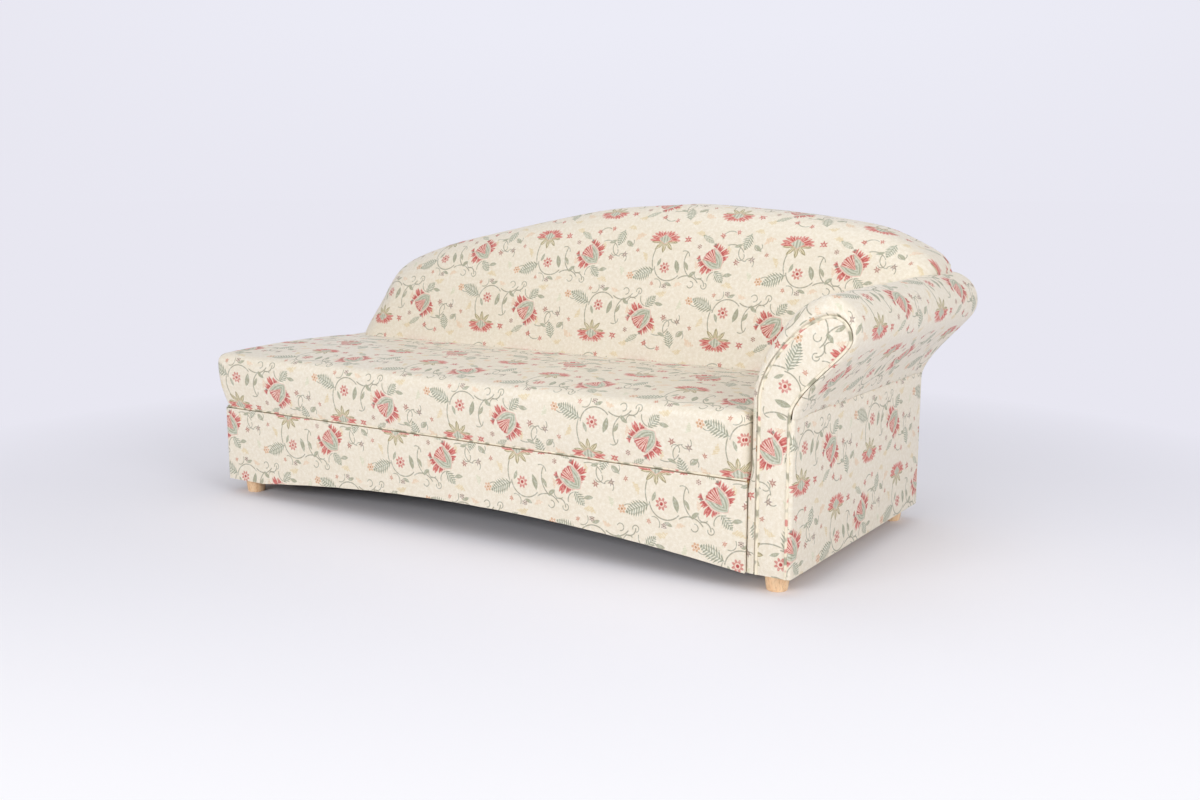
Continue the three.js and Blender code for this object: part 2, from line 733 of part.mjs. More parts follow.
// Scroll of the arm seen from the front: up the inner face, over the roll, under it and down
// the outer face
function scrollOutline({ inner, outer, crown, tip, under, neck, spring }) {
  const [lean, rise] = [crown.x - inner, crown.y - spring];
  const [drop, run, fall] = [tip.y - under.y, under.x - outer, under.y - neck];
  const slope = new THREE.Vector2(run * underRunShare, fall * underFallShare);
  const tuck = slope.clone().setLength(drop * scrollTuckShare);
  const path = new THREE.Path();
  path.moveTo(inner, footHeight);
  path.lineTo(inner, spring);
  path.bezierCurveTo(inner, spring + rise * scrollRiseShare,
    crown.x - lean * scrollLeanShare, crown.y, crown.x, crown.y);
  path.bezierCurveTo(crown.x + (tip.x - crown.x) * quarterShare, crown.y,
    tip.x, tip.y + (crown.y - tip.y) * quarterShare, tip.x, tip.y);
  path.bezierCurveTo(tip.x, tip.y - drop * scrollTuckShare, under.x + tuck.x, under.y + tuck.y,
    under.x, under.y);
  path.bezierCurveTo(under.x - slope.x, under.y - slope.y,
    outer + run * neckRunShare, neck + fall * neckFallShare, outer, neck);
  path.lineTo(outer, footHeight);
  return samplePath(path, scrollSteps);
}

const skinScroll = scrollOutline({
  inner: xArm,
  outer: xOuter,
  crown: new THREE.Vector2(xOuter + rollCrownReach, rollTop),
  tip: new THREE.Vector2(xOuter + rollReach, rollTipHeight),
  under: new THREE.Vector2(xOuter + rollUnderReach, rollUnderHeight),
  neck: rollNeckHeight,
  spring: rollSpringHeight,
});
const boardCrown = new THREE.Vector2(xOuter + rollCrownReach + padCrownShift, rollTop - padTop);
const boardTip = new THREE.Vector2(xOuter + rollReach - padTip, rollTipHeight - padTipDrop);
const boardScroll = scrollOutline({
  inner: xArm + padInner,
  outer: xOuter - padOuter,
  crown: boardCrown,
  tip: boardTip,
  under: new THREE.Vector2(xOuter + rollUnderReach - padUnder, rollUnderHeight),
  neck: rollNeckHeight + padNeckRise,
  spring: rollSpringHeight,
});
const yBoardFront = yFront + facingThickness;
const yArmInside = yBoardFront + boardThickness;
const yArmRear = yOutside - boardThickness;

function armBoltHole(y) {
  return rod(boltRadius + fit, 0, 0, -armWidth, armWidth).rotateY(Math.PI / 2)
    .translate(xArm, y, armBoltLevel);
}

function buildArmFrame() {
  const board = offsetOutline(boardScroll, -half);
  add("arm_front_board", frontPlate(board, yBoardFront + half, yArmInside - half), timber);
  add("arm_rear_board", frontPlate(board, yArmRear + half, yOutside - half), timber);

  const xInner = xArm + padInner;
  const xOut = xOuter - padOuter;
  const plank = timberAlongY(xArm, xInner, yFront + shoulderDepth, yOutside, footHeight, seamLevel);
  add("arm_inner_board", cut(plank, ...armBoltPlaces.map(armBoltHole)), timber);

  const bottom = timberAlongY(xInner, xOut, yArmInside, yArmRear, footHeight, footHeight + blockHeight);
  const feet = [yFront + footInsetY, yRear - footInsetY];
  add("arm_bottom_rail", cut(bottom, ...feet.map((y) => footBoltHole(xOuter - footInsetX, y))), timber);

  const skin = rollSheetThickness;
  const rails = {
    arm_top_rail: [boardCrown.x - armRailWidth / 2, boardCrown.y - armRailWidth - skin - armRailDrop],
    arm_tip_rail: [boardTip.x - armRailWidth - skin - 2 * armRailDrop,
      boardTip.y - armRailWidth * railLowerShare],
    arm_crease_rail: [xOut - armRailWidth - skin, creaseHeight - armRailWidth * railLowerShare],
    arm_inner_rail: [xInner + skin, seatLevel - armRailWidth / 2],
  };
  for (const [name, [x, z]] of Object.entries(rails)) {
    const rail = timberAlongY(x, x + armRailWidth, yArmInside, yArmRear, z, z + armRailWidth);
    add(name, rail, timber);
  }

  // Thin board bent over the rails, from the inner face to the crease
  const outer = offsetOutline(boardScroll, -half);
  const inner = offsetOutline(boardScroll, -half - skin);
  const start = [outer[1], inner[1]].map((p) => new THREE.Vector2(p.x, seatLevel));
  const sheet = [start[0], ...outer.slice(1, -1), ...inner.slice(1, -1).reverse(), start[1]];
  add("arm_roll_sheet", frontPlate(sheet, yArmInside + half, yArmRear - half), timber);

  armBoltPlaces.forEach((y, i) => add(`arm_bolt_${i + 1}`, armBolt(y), steel));
}

// A bolt through the end of the box and the arm, with its nut inside the arm
function armBolt(y) {
  const [head, nut] = [-railThickness, padInner];
  const shank = [[0, head - boltHeadHeight], [boltHeadRadius * boltCrownShare, head - boltHeadHeight],
    [boltHeadRadius, head], [boltRadius, head], [boltRadius, nut + nutHeight + boltRadius / 2],
    [0, nut + nutHeight + boltRadius / 2]];
  const collar = rod(nutRadius, 0, 0, nut, nut + nutHeight, nutSides);
  return join(turnedPiece(shank, 0, 0, barSides), collar).rotateY(Math.PI / 2)
    .translate(xArm, y, armBoltLevel);
}

function scrollRing(share, y) {
  return skinScroll.map((p, i) => {
    const base = boardScroll[i];
    return new THREE.Vector3(base.x + (p.x - base.x) * share, y, base.y + (p.y - base.y) * share);
  });
}

function buildArmCovers() {
  const rings = [0, ...turnShares].map((turn) => {
    const angle = (turn * Math.PI) / 2;
    const share = shoulderLipShare + (1 - shoulderLipShare) * Math.sin(angle);
    return scrollRing(share, yFront + shoulderDepth * (1 - Math.cos(angle)));
  });
  rings.push(scrollRing(1, yOutside - half));
  const core = frontPlate(offsetOutline(boardScroll, half), yFront - overrun, yRear + overrun);
  const outside = block(xOuter - padOuter, xOuter + overrun, yFront - overrun, yRear,
    footHeight - overrun, creaseHeight, half);
  const below = block(xArm - overrun, xArm + padInner, yFront + shoulderDepth, yRear,
    footHeight - overrun, seamLevel, half);
  add("arm_pad", cut(loft(rings, fromFront), core, outside, below), cloth);

  const [x0, x1, round] = [xOuter - padOuter + half, xOuter, outsideCoverRound];
  const plan = new THREE.Path();
  plan.moveTo(x0, yOutside - half);
  plan.lineTo(x0, yFront);
  plan.lineTo(x1 - round, yFront);
  plan.absarc(x1 - round, yFront + round, round, -Math.PI / 2, 0, false);
  plan.lineTo(x1, yOutside - half);
  const panel = flatPlate(samplePath(plan, [1, 1, cornerSteps, 1]), footHeight, creaseHeight - half);
  add("arm_outside_cover", panel, cloth);

  const groove = 2 * pipingRadius + fit;
  const face = grounded(offsetOutline(boardScroll, -groove - half));
  const worn = grounded(offsetOutline(boardScroll, -groove - half - facingBevel));
  const levels = [[worn, 0], [face, facingBevel], [face, facingThickness - half]];
  const faceRings = levels.map(([outline, d]) => outline.map((p) => new THREE.Vector3(p.x, yFront + d, p.y)));
  add("arm_facing", loft(faceRings, fromFront), cloth);

  const line = grounded(offsetOutline(boardScroll, -groove / 2 - half / 2));
  add("arm_facing_piping", pipingAlong(line, yFront + pipingRadius), pipingCloth);

  const rearFace = grounded(offsetOutline(skinScroll, -rearCoverInset));
  const rearWorn = grounded(offsetOutline(skinScroll, -rearCoverInset - rearCoverBevel));
  const rearLevels = [[rearFace, 0], [rearFace, coverThickness - rearCoverBevel], [rearWorn, coverThickness]];
  const rearRings = rearLevels.map(([outline, d]) => {
    return outline.map((p) => new THREE.Vector3(Math.max(p.x, xArm + half), yOutside + d, p.y));
  });
  add("arm_rear_cover", loft(rearRings, fromFront), cloth);
}

// Outline with its lowest points set on the underside of the arm
function grounded(outline) {
  const last = outline.length - 1;
  return outline.map((p, i) => new THREE.Vector2(p.x, i === 0 || i === last ? footHeight : p.y));
}

// Round piping along an open line drawn from the front
function pipingAlong(line, y) {
  const rings = line.map((p, i) => {
    const before = line[Math.max(i - 1, 0)];
    const after = line[Math.min(i + 1, line.length - 1)];
    const along = new THREE.Vector2().subVectors(after, before).normalize();
    return Array.from({ length: pipingSides }, (_, k) => {
      const turn = (2 * Math.PI * k) / pipingSides;
      const out = (pipingRadius - half) * Math.cos(turn);
      return new THREE.Vector3(p.x + along.y * out, y + pipingRadius * Math.sin(turn), p.y - along.x * out);
    });
  });
  return loft(rings, fromAbove);
}

// Back

const crestLine = new THREE.SplineCurve(crestShares.map(([along, up]) => {
  return new THREE.Vector2(xLeft + (xTip - xLeft) * along, seatLevel + (backHeight - seatLevel) * up);
})).getPoints(crestSteps);
const backFloor = seamLevel - backEndRound; // the back is drawn down to here, then cut

function crestHeight(x) {
  const i = crestLine.findIndex((p) => p.x >= x - weld);
  if (i <= 0) {
    return crestLine[i === 0 ? 0 : crestLine.length - 1].y;
  }
  const [a, b] = [crestLine[i - 1], crestLine[i]];
  return a.y + ((b.y - a.y) * (x - a.x)) / (b.x - a.x);
}

function faceAt(z) {
  return yBack + rakeSlope * (z - seatLevel);
}

// The frame's front leans back above the seat, and stands upright behind the slab
const yRibRear = yOutside - crestRailThickness;
const yFrameFoot = yBack + backFoam;
const frameSlope = (yRibRear - uprightHead - yFrameFoot) / (backHeight - backWall - seatLevel);

function frameFaceAt(z) {
  return yFrameFoot + frameSlope * Math.max(z - seatLevel, 0);
}

// Distance from a point of the back's face to its edge, seen square on
function edgeDistance(x, z) {
  const edge = [new THREE.Vector2(xLeft, backFloor), ...crestLine, new THREE.Vector2(xTip, backFloor)];
  const point = new THREE.Vector2(x, z);
  let nearest = Infinity;
  for (let i = 0; i + 1 < edge.length; i++) {
    const run = new THREE.Vector2().subVectors(edge[i + 1], edge[i]);
    const from = new THREE.Vector2().subVectors(point, edge[i]);
    const share = THREE.MathUtils.clamp(from.dot(run) / run.lengthSq(), 0, 1);
    nearest = Math.min(nearest, from.addScaledVector(run, -share).length());
  }
  return nearest;
}

// The front edge is rounded most at the open end, but only well above the seat: lower down the
// back's end has to meet the rear edge of the slab
function edgeRound(x, z) {
  const end = seatTuck + (backEndRound - seatTuck) * smooth((z - seatLevel) / backEndRise);
  return end + (backEdgeRound - end) * smooth((x - xLeft) / backEndBlend);
}

// Section of the back at one place along it: up the raked face, over the crest, down the rear
function backSection(x) {
  const top = crestHeight(x);
  const round = edgeRound(x, top);
  const low = backFloor;
  const bend = top - round > seatLevel ? seatLevel : (low + top - round) / 2;
  const levels = [low, bend, (bend + top - round) / 2, top - round];
  for (const turn of turnShares) {
    levels.push(top - round * (1 - Math.sin((turn * Math.PI) / 2)));
  }
  const points = levels.map((z) => {
    const d = edgeDistance(x, z);
    const reach = edgeRound(x, z);
    const left = Math.max(1 - d / reach, 0);
    const drawnIn = reach * (1 - Math.sqrt(1 - left * left));
    const crown = backCrown * smooth(d / backCrownReach) * smooth((z - seatLevel) / backCrownReach);
    return new THREE.Vector3(x, faceAt(z) + drawnIn - crown, z);
  });
  const rearX = THREE.MathUtils.clamp(x, xLeft + backRearInset, xTip - backRearInset);
  points.push(new THREE.Vector3(x, yOutside - backRearRound, top));
  points.push(new THREE.Vector3(rearX, yOutside - half, top - backRearInset));
  points.push(new THREE.Vector3(rearX, yOutside - half, low));
  points.push(new THREE.Vector3(x, yOutside - backRearRound, low));
  return points;
}

// Space for the frame inside the back's foam, open at the rear and below
function framePocket() {
  return loft(frameStations(half).map((x) => {
    const top = frameTop(x) + half;
    const low = seamLevel - overrun;
    const face = [low, seatLevel, top].map((z) => [frameFaceAt(z) - half, z]);
    return [...face, [yRear + overrun, top], [yRear + overrun, low]]
      .map(([y, z]) => new THREE.Vector3(x, y, z));
  }), fromEnd);
}

const pocketLeft = xLeft + backEndWall;
const pocketRight = xArm - backArmWall;

const crestStations = crestLine.map((p) => p.x)
  .filter((x) => x > pocketLeft + backArmWall && x < pocketRight - backArmWall)
  .filter((x, i) => i % frameStride === 0);

function frameStations(grow) {
  return [pocketLeft - grow, ...crestStations, pocketRight + grow];
}

// Top of the frame: straight from station to station, one wall of foam below the crest
function frameTop(x) {
  const stations = frameStations(0);
  const at = THREE.MathUtils.clamp(x, pocketLeft, pocketRight);
  const i = Math.max(stations.findIndex((station) => station >= at), 1);
  const [a, b] = [stations[i - 1], stations[i]];
  const [low, high] = [crestHeight(a), crestHeight(b)];
  return low + ((high - low) * (at - a)) / (b - a) - backWall;
}

function buildBackFrame() {
  const bottomTop = seamLevel + bottomRailThickness;
  const bottom = timberAlongX(pocketLeft, pocketRight, yFrameFoot, yOutside, seamLevel, bottomTop);
  const holes = screwPlaces.map((x) => screwHole(x, backScrewY, backScrewTop, backScrewLength));
  add("back_bottom_rail", cut(bottom, ...holes), timber);
  screwPlaces.forEach((x, i) => {
    add(`back_screw_${i + 1}`, screw(x, backScrewY, backScrewTop, backScrewLength), steel);
  });

  const run = pocketRight - pocketLeft - uprightThickness;
  for (let i = 0; i < uprightCount; i++) {
    const x = pocketLeft + (run * i) / (uprightCount - 1);
    const top = Math.min(frameTop(x), frameTop(x + uprightThickness)) - half;
    const low = bottomTop + half;
    const face = [low, seatLevel, top].map((z) => [frameFaceAt(z) + liningThickness + half, z]);
    const outline = points2([...face, [yRibRear - half, top], [yRibRear - half, low]]);
    add(`back_upright_${i + 1}`, endPlate(outline, x + half, x + uprightThickness - half), timber);
  }

  const stations = frameStations(-half);
  const upper = stations.map((x) => new THREE.Vector2(x, frameTop(x) - half));
  const lower = upper.map((p) => new THREE.Vector2(p.x, p.y - crestRailHeight)).reverse();
  add("back_crest_rail", frontPlate([...upper, ...lower], yRibRear + half, yOutside - half), timber);

  const sheet = loft(stations.map((x) => {
    const [low, high] = [bottomTop + half, frameTop(x) - half];
    const levels = [low, seatLevel, high];
    const outer = levels.map((z) => new THREE.Vector3(x, frameFaceAt(z) + half, z));
    const inner = levels.map((z) => new THREE.Vector3(x, frameFaceAt(z) + liningThickness - half, z));
    return [...outer, ...inner.reverse()];
  }), fromEnd);
  add("back_lining", sheet, lining);
}

function buildBackCovers() {
  const body = loft(stationShares.map((share) => backSection(xLeft + (xTip - xLeft) * share)), fromEnd);
  const armBody = frontPlate(offsetOutline(skinScroll, half), yFront - overrun, yRear + overrun);
  const underTip = block(xOuter, xTip + overrun, yFront, yRear + overrun, backFloor - overrun,
    rollTipHeight, half);
  const belowSeam = block(xLeft - overrun, xTip, yFront, yRear, backFloor - overrun, seamLevel, half);
  const slab = block(xLeft - overrun, xArm + overrun, yFront, ySeatEnd, seamLevel - overrun,
    seatLevel, half);
  const crown = block(xLeft - overrun, xArm + overrun, yFront, yBack, seatLevel - overrun,
    seatPeak, half);
  add("back_pad", cut(body, armBody, underTip, belowSeam, slab, crown, framePocket()), cloth);

  const inset = outsideCoverInset;
  const edge = crestLine.filter((p, i) => i % coverStride === 0 && p.x > xLeft + 2 * inset && p.x < xTip - 2 * inset);
  const upper = edge.map((p) => new THREE.Vector2(p.x, p.y - inset));
  const outline = [new THREE.Vector2(xLeft + inset, seamLevel + half),
    new THREE.Vector2(xLeft + inset, seatLevel), ...upper,
    new THREE.Vector2(xTip - inset, upper[upper.length - 1].y - 2 * inset),
    new THREE.Vector2(xTip - inset, seamLevel + half)];
  const panel = frontPlate(outline, yOutside + half, yRear);
  add("back_outside_cover", cut(panel, armBody, underTip), cloth);
}

buildBox();
buildFeet();
buildSeatFrame();
buildSprings();
buildSeatPad();
buildArmFrame();
buildArmCovers();
buildBackFrame();
buildBackCovers();

export default sofa;
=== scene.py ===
"""A fixed three-seat sofa with one rolled arm, dressed in a woven floral cloth.

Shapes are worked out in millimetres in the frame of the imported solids, and make() writes metres.
x runs along the sofa towards the arm, y towards the back, z up.
"""

import json
import math

import bmesh
import bpy
import numpy as np
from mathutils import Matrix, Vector


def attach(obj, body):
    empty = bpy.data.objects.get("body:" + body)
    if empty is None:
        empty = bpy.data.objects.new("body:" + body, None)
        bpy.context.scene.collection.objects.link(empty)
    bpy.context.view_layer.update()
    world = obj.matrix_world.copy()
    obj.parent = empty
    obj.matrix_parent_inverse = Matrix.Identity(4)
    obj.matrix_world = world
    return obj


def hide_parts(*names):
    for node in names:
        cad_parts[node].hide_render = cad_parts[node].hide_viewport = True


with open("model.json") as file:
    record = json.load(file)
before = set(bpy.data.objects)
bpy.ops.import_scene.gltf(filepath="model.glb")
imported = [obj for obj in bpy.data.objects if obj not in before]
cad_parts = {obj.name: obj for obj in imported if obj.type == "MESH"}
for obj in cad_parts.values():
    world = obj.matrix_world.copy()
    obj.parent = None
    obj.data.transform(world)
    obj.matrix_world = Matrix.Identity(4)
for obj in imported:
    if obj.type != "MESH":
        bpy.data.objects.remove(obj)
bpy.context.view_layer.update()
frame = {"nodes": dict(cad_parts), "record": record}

# Levels and faces of the solids
LEFT, ARM, OUTER, TIP = -1036.0, 797.0, 914.0, 998.0
FRONT, OUTSIDE, REAR = -432.0, 440.0, 448.0
FOOT, SEAM, SEAT = 46.0, 274.0, 445.0
BACK, SLAB_END = 146.0, 241.0
ARCH_LEFT, ARCH_RIGHT, ARCH_RISE = -880.0, 789.0, 50.0
COVER = 7.6
CREASE = 438.0
EDGE = 34.0  # depth of the seat slab's rounded edges
LEAN = 0.2953  # how far the back's face leans back for each millimetre of height
CREST = np.array([
    (0, 0), (0.0134, 0.22), (0.0292, 0.4), (0.0575, 0.541), (0.128, 0.652), (0.2126, 0.742),
    (0.362, 0.88), (0.471, 0.962), (0.573, 0.993), (0.622, 1), (0.744, 0.968), (0.85, 0.918),
    (0.914, 0.864), (0.9757, 0.745), (0.993, 0.68), (1, 0.6),
]) * (TIP - LEFT, 464.0) + (LEFT, SEAT)

# Radius of the box's upright corners, the gap left to a neighbour, and how far the arm's facing
# and its cord lie inside the boards' outline
CORNER, GAP = 12.0, 0.3
FACING_INSET, CORD_INSET = 6.6, 3.4

# The cloth's pattern: width and height of one repeat. Millimetres in a metre
REPEAT, ROW = 434.0, 199.0
METRE = 1000.0

# How far the pattern is shifted along the front, along the arm and up the arm
SHIFT, ARM_SHIFT, ARM_RISE = 650, 626, 150


def smooth(share):
    """Soft step from 0 to 1."""
    t = np.clip(share, 0, 1)
    return t * t * (3 - 2 * t)


def quarter(share):
    """How far a quarter circle lies inside its edge, at this share of its radius from the edge."""
    return 1 - np.sqrt(1 - (1 - np.clip(share, 0, 1)) ** 2)


def joined(*coordinates):
    """Points from their coordinates, each a number or an array."""
    return np.stack(np.broadcast_arrays(*coordinates), -1)


def run_of(points):
    """Length run along a line of points."""
    steps = np.linalg.norm(np.diff(points, axis=0), axis=-1)
    return np.concatenate([np.zeros((1,) + steps.shape[1:]), np.cumsum(steps, axis=0)])


def evenly(points, count):
    """The same line with points spaced evenly along it."""
    run = run_of(points)
    at = np.linspace(0, run[-1], count)
    return np.stack([np.interp(at, run, column) for column in points.T], -1)


def sideways(line):
    """Unit vector to the right of each point's direction along a flat line."""
    along = np.gradient(line, axis=0)
    along /= np.linalg.norm(along, axis=1, keepdims=True)
    return joined(along[:, 1], -along[:, 0])


def ripples(x, y, size, seed):
    """Sum of five sine waves in different directions, from -1 to 1, for uneven cloth."""
    turns = np.random.default_rng(seed).uniform(0, 2 * np.pi, (5, 2))
    total = sum(
        np.sin((x * math.cos(a) + y * math.sin(a)) * 2 * np.pi / (size * (0.6 + 0.25 * k)) + b)
        for k, (a, b) in enumerate(turns)
    )
    return total / 5


def put(name, data):
    """A new object in the scene."""
    thing = bpy.data.objects.new(name, data)
    bpy.context.scene.collection.objects.link(thing)
    return thing


def slab_of(face, back, place, rims=None, ends=None):
    """Patches of a flat piece: its face, its back, and the two rims and two ends between them.
    Rims and ends can have a place of their own on the cloth."""
    patches = [(face, place), (back, place)]
    for own, cuts in ((rims, (np.s_[:, 0], np.s_[:, -1])), (ends, (np.s_[0], np.s_[-1]))):
        u, v = np.broadcast_arrays(*(own or place), face[..., 0])[:2]
        patches += [(np.stack([face[cut], back[cut]]), (u[cut], v[cut])) for cut in cuts]
    return patches


def make(name, patches, replaces=(), slot="cloth"):
    """One closed piece out of grids of points whose rims meet, each with its place on the cloth.

    Points that coincide are joined, and the shell's faces turned outwards. The slot gives the
    finish.
    """
    points = np.concatenate([p.reshape(-1, 3) for p, _ in patches]) / METRE
    flat = [joined(*t, p[..., 0])[..., :2].reshape(-1, 2) for p, t in patches]
    flat = np.concatenate(flat) / METRE
    quads, start = [], 0
    for p, _ in patches:
        rows, columns = p.shape[:2]
        i = start + np.arange(rows * columns).reshape(rows, columns)
        quads.append(np.stack([i[:-1, :-1], i[1:, :-1], i[1:, 1:], i[:-1, 1:]], -1).reshape(-1, 4))
        start += rows * columns
    quads = np.concatenate(quads)
    mesh = bpy.data.meshes.new(name)
    mesh.vertices.add(len(points))
    mesh.vertices.foreach_set("co", points.ravel())
    mesh.loops.add(quads.size)
    mesh.loops.foreach_set("vertex_index", quads.ravel())
    mesh.polygons.add(len(quads))
    mesh.polygons.foreach_set("loop_start", np.arange(0, quads.size, 4))
    mesh.uv_layers.new(name="cloth").data.foreach_set("uv", flat[quads.ravel()].ravel())
    mesh.update(calc_edges=True)
    shell = bmesh.new()
    shell.from_mesh(mesh)
    bmesh.ops.remove_doubles(shell, verts=shell.verts, dist=1e-6)
    bmesh.ops.dissolve_degenerate(shell, dist=1e-6, edges=shell.edges)
    bmesh.ops.recalc_face_normals(shell, faces=shell.faces)
    shell.to_mesh(mesh)
    shell.free()
    mesh.shade_smooth()
    mesh.set_sharp_from_angle(angle=math.radians(50))
    piece = put(name, mesh)
    mesh.materials.append(FINISHES[slot])
    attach(piece, "root")
    if replaces:
        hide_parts(*replaces)


# Shader maths


class Value:
    """A number that changes over a surface. Arithmetic on it adds Math nodes."""

    def __init__(self, nodes, socket):
        self.nodes, self.socket = nodes, socket

    def maths(self, operation, *values, clamp=False):
        settings = {"operation": operation, "use_clamp": clamp}
        return self.nodes.value("ShaderNodeMath", settings, dict(enumerate(values)))

    def __add__(self, other): return self.maths("ADD", self, other)
    def __radd__(self, other): return self.maths("ADD", other, self)
    def __sub__(self, other): return self.maths("SUBTRACT", self, other)
    def __rsub__(self, other): return self.maths("SUBTRACT", other, self)
    def __mul__(self, other): return self.maths("MULTIPLY", self, other)
    def __rmul__(self, other): return self.maths("MULTIPLY", other, self)
    def __pow__(self, other): return self.maths("POWER", self, other)
    def __abs__(self): return self.maths("ABSOLUTE", self)
    def __or__(self, other): return self.maths("MAXIMUM", self, other)
    def sine(self): return self.maths("SINE", self)

    def over(self, soft):
        """1 where the number is above zero and 0 where it is below, over a soft edge."""
        return self.maths("MULTIPLY_ADD", self, 1 / soft, 0.5, clamp=True)


class Nodes:
    """A tree of nodes that grows call by call."""

    def __init__(self, tree):
        self.tree = tree

    def add(self, kind, settings=None, inputs=None, output=0):
        """Adds a node with these settings, and these values or links, and returns an output."""
        node = self.tree.nodes.new(kind)
        for key, value in (settings or {}).items():
            setattr(node, key, value)
        for key, value in (inputs or {}).items():
            self.feed(node.inputs[key], value)
        return node.outputs[output]

    def feed(self, socket, value):
        """Links a value to a socket, or sets the socket to a plain one."""
        if isinstance(value, Value):
            value = value.socket
        if isinstance(value, bpy.types.NodeSocket):
            self.tree.links.new(value, socket)
        elif socket.type == "RGBA":
            socket.default_value = (*value, 1)
        else:
            socket.default_value = value

    def value(self, *arguments, **words):
        return Value(self, self.add(*arguments, **words))

    def blend(self, share, first, second, way="MIX"):
        """Colour between two, or one laid over the other in another way."""
        settings = {"data_type": "RGBA", "blend_type": way}
        return self.add("ShaderNodeMix", settings, {0: share, 6: first, 7: second}, 2)

    def vector(self, operation, *values, output=0):
        inputs = dict(enumerate(values))
        return self.add("ShaderNodeVectorMath", {"operation": operation}, inputs, output)

    def length(self, vector):
        return Value(self, self.vector("LENGTH", vector, output=1))

    def stretched(self, where, scale, turn=0.0):
        """A place scaled along each axis, so that what is drawn on it is stretched."""
        inputs = {"Vector": where, "Rotation": (0, 0, turn), "Scale": scale}
        return self.add("ShaderNodeMapping", None, inputs)

    def noise(self, where, scale, detail=2.0, roughness=0.5):
        inputs = {"Vector": where, "Scale": scale, "Detail": detail, "Roughness": roughness}
        return self.value("ShaderNodeTexNoise", None, inputs)

    def parts(self, vector):
        """The three numbers of a vector."""
        split = self.add("ShaderNodeSeparateXYZ", None, {0: vector}).node
        return [Value(self, socket) for socket in split.outputs]

    def seen_directly(self):
        """1 where the camera, a mirror or a clear piece looks, 0 where light is traced."""
        path = self.add("ShaderNodeLightPath").node.outputs
        names = ("Is Camera Ray", "Is Glossy Ray", "Is Transmission Ray")
        camera_ray, mirrored, clear = (Value(self, path[name]) for name in names)
        return camera_ray | mirrored | clear


class Finish(Nodes):
    """A material made of nodes round one surface shader."""

    def __init__(self, name, **constants):
        self.material = bpy.data.materials.new(name)
        self.material.use_nodes = True
        super().__init__(self.material.node_tree)
        self.shader = self.tree.nodes["Principled BSDF"]
        for socket, value in constants.items():
            self.shader.inputs[socket.replace("_", " ")].default_value = value

    def bump(self, height, strength, distance):
        inputs = {"Strength": strength, "Distance": distance, "Height": height}
        return self.add("ShaderNodeBump", None, inputs)

    def show(self, **sockets):
        """Feeds sockets of the surface shader and returns the material."""
        for socket, value in sockets.items():
            self.feed(self.shader.inputs[socket.replace("_", " ")], value)
        return self.material


def tone(code):
    """Linear colour of a plain hexadecimal one."""
    shown = np.array([int(code[i:i + 2], 16) for i in (0, 2, 4)]) / 255
    return tuple(np.where(shown <= 0.04045, shown / 12.92, ((shown + 0.055) / 1.055) ** 2.4))


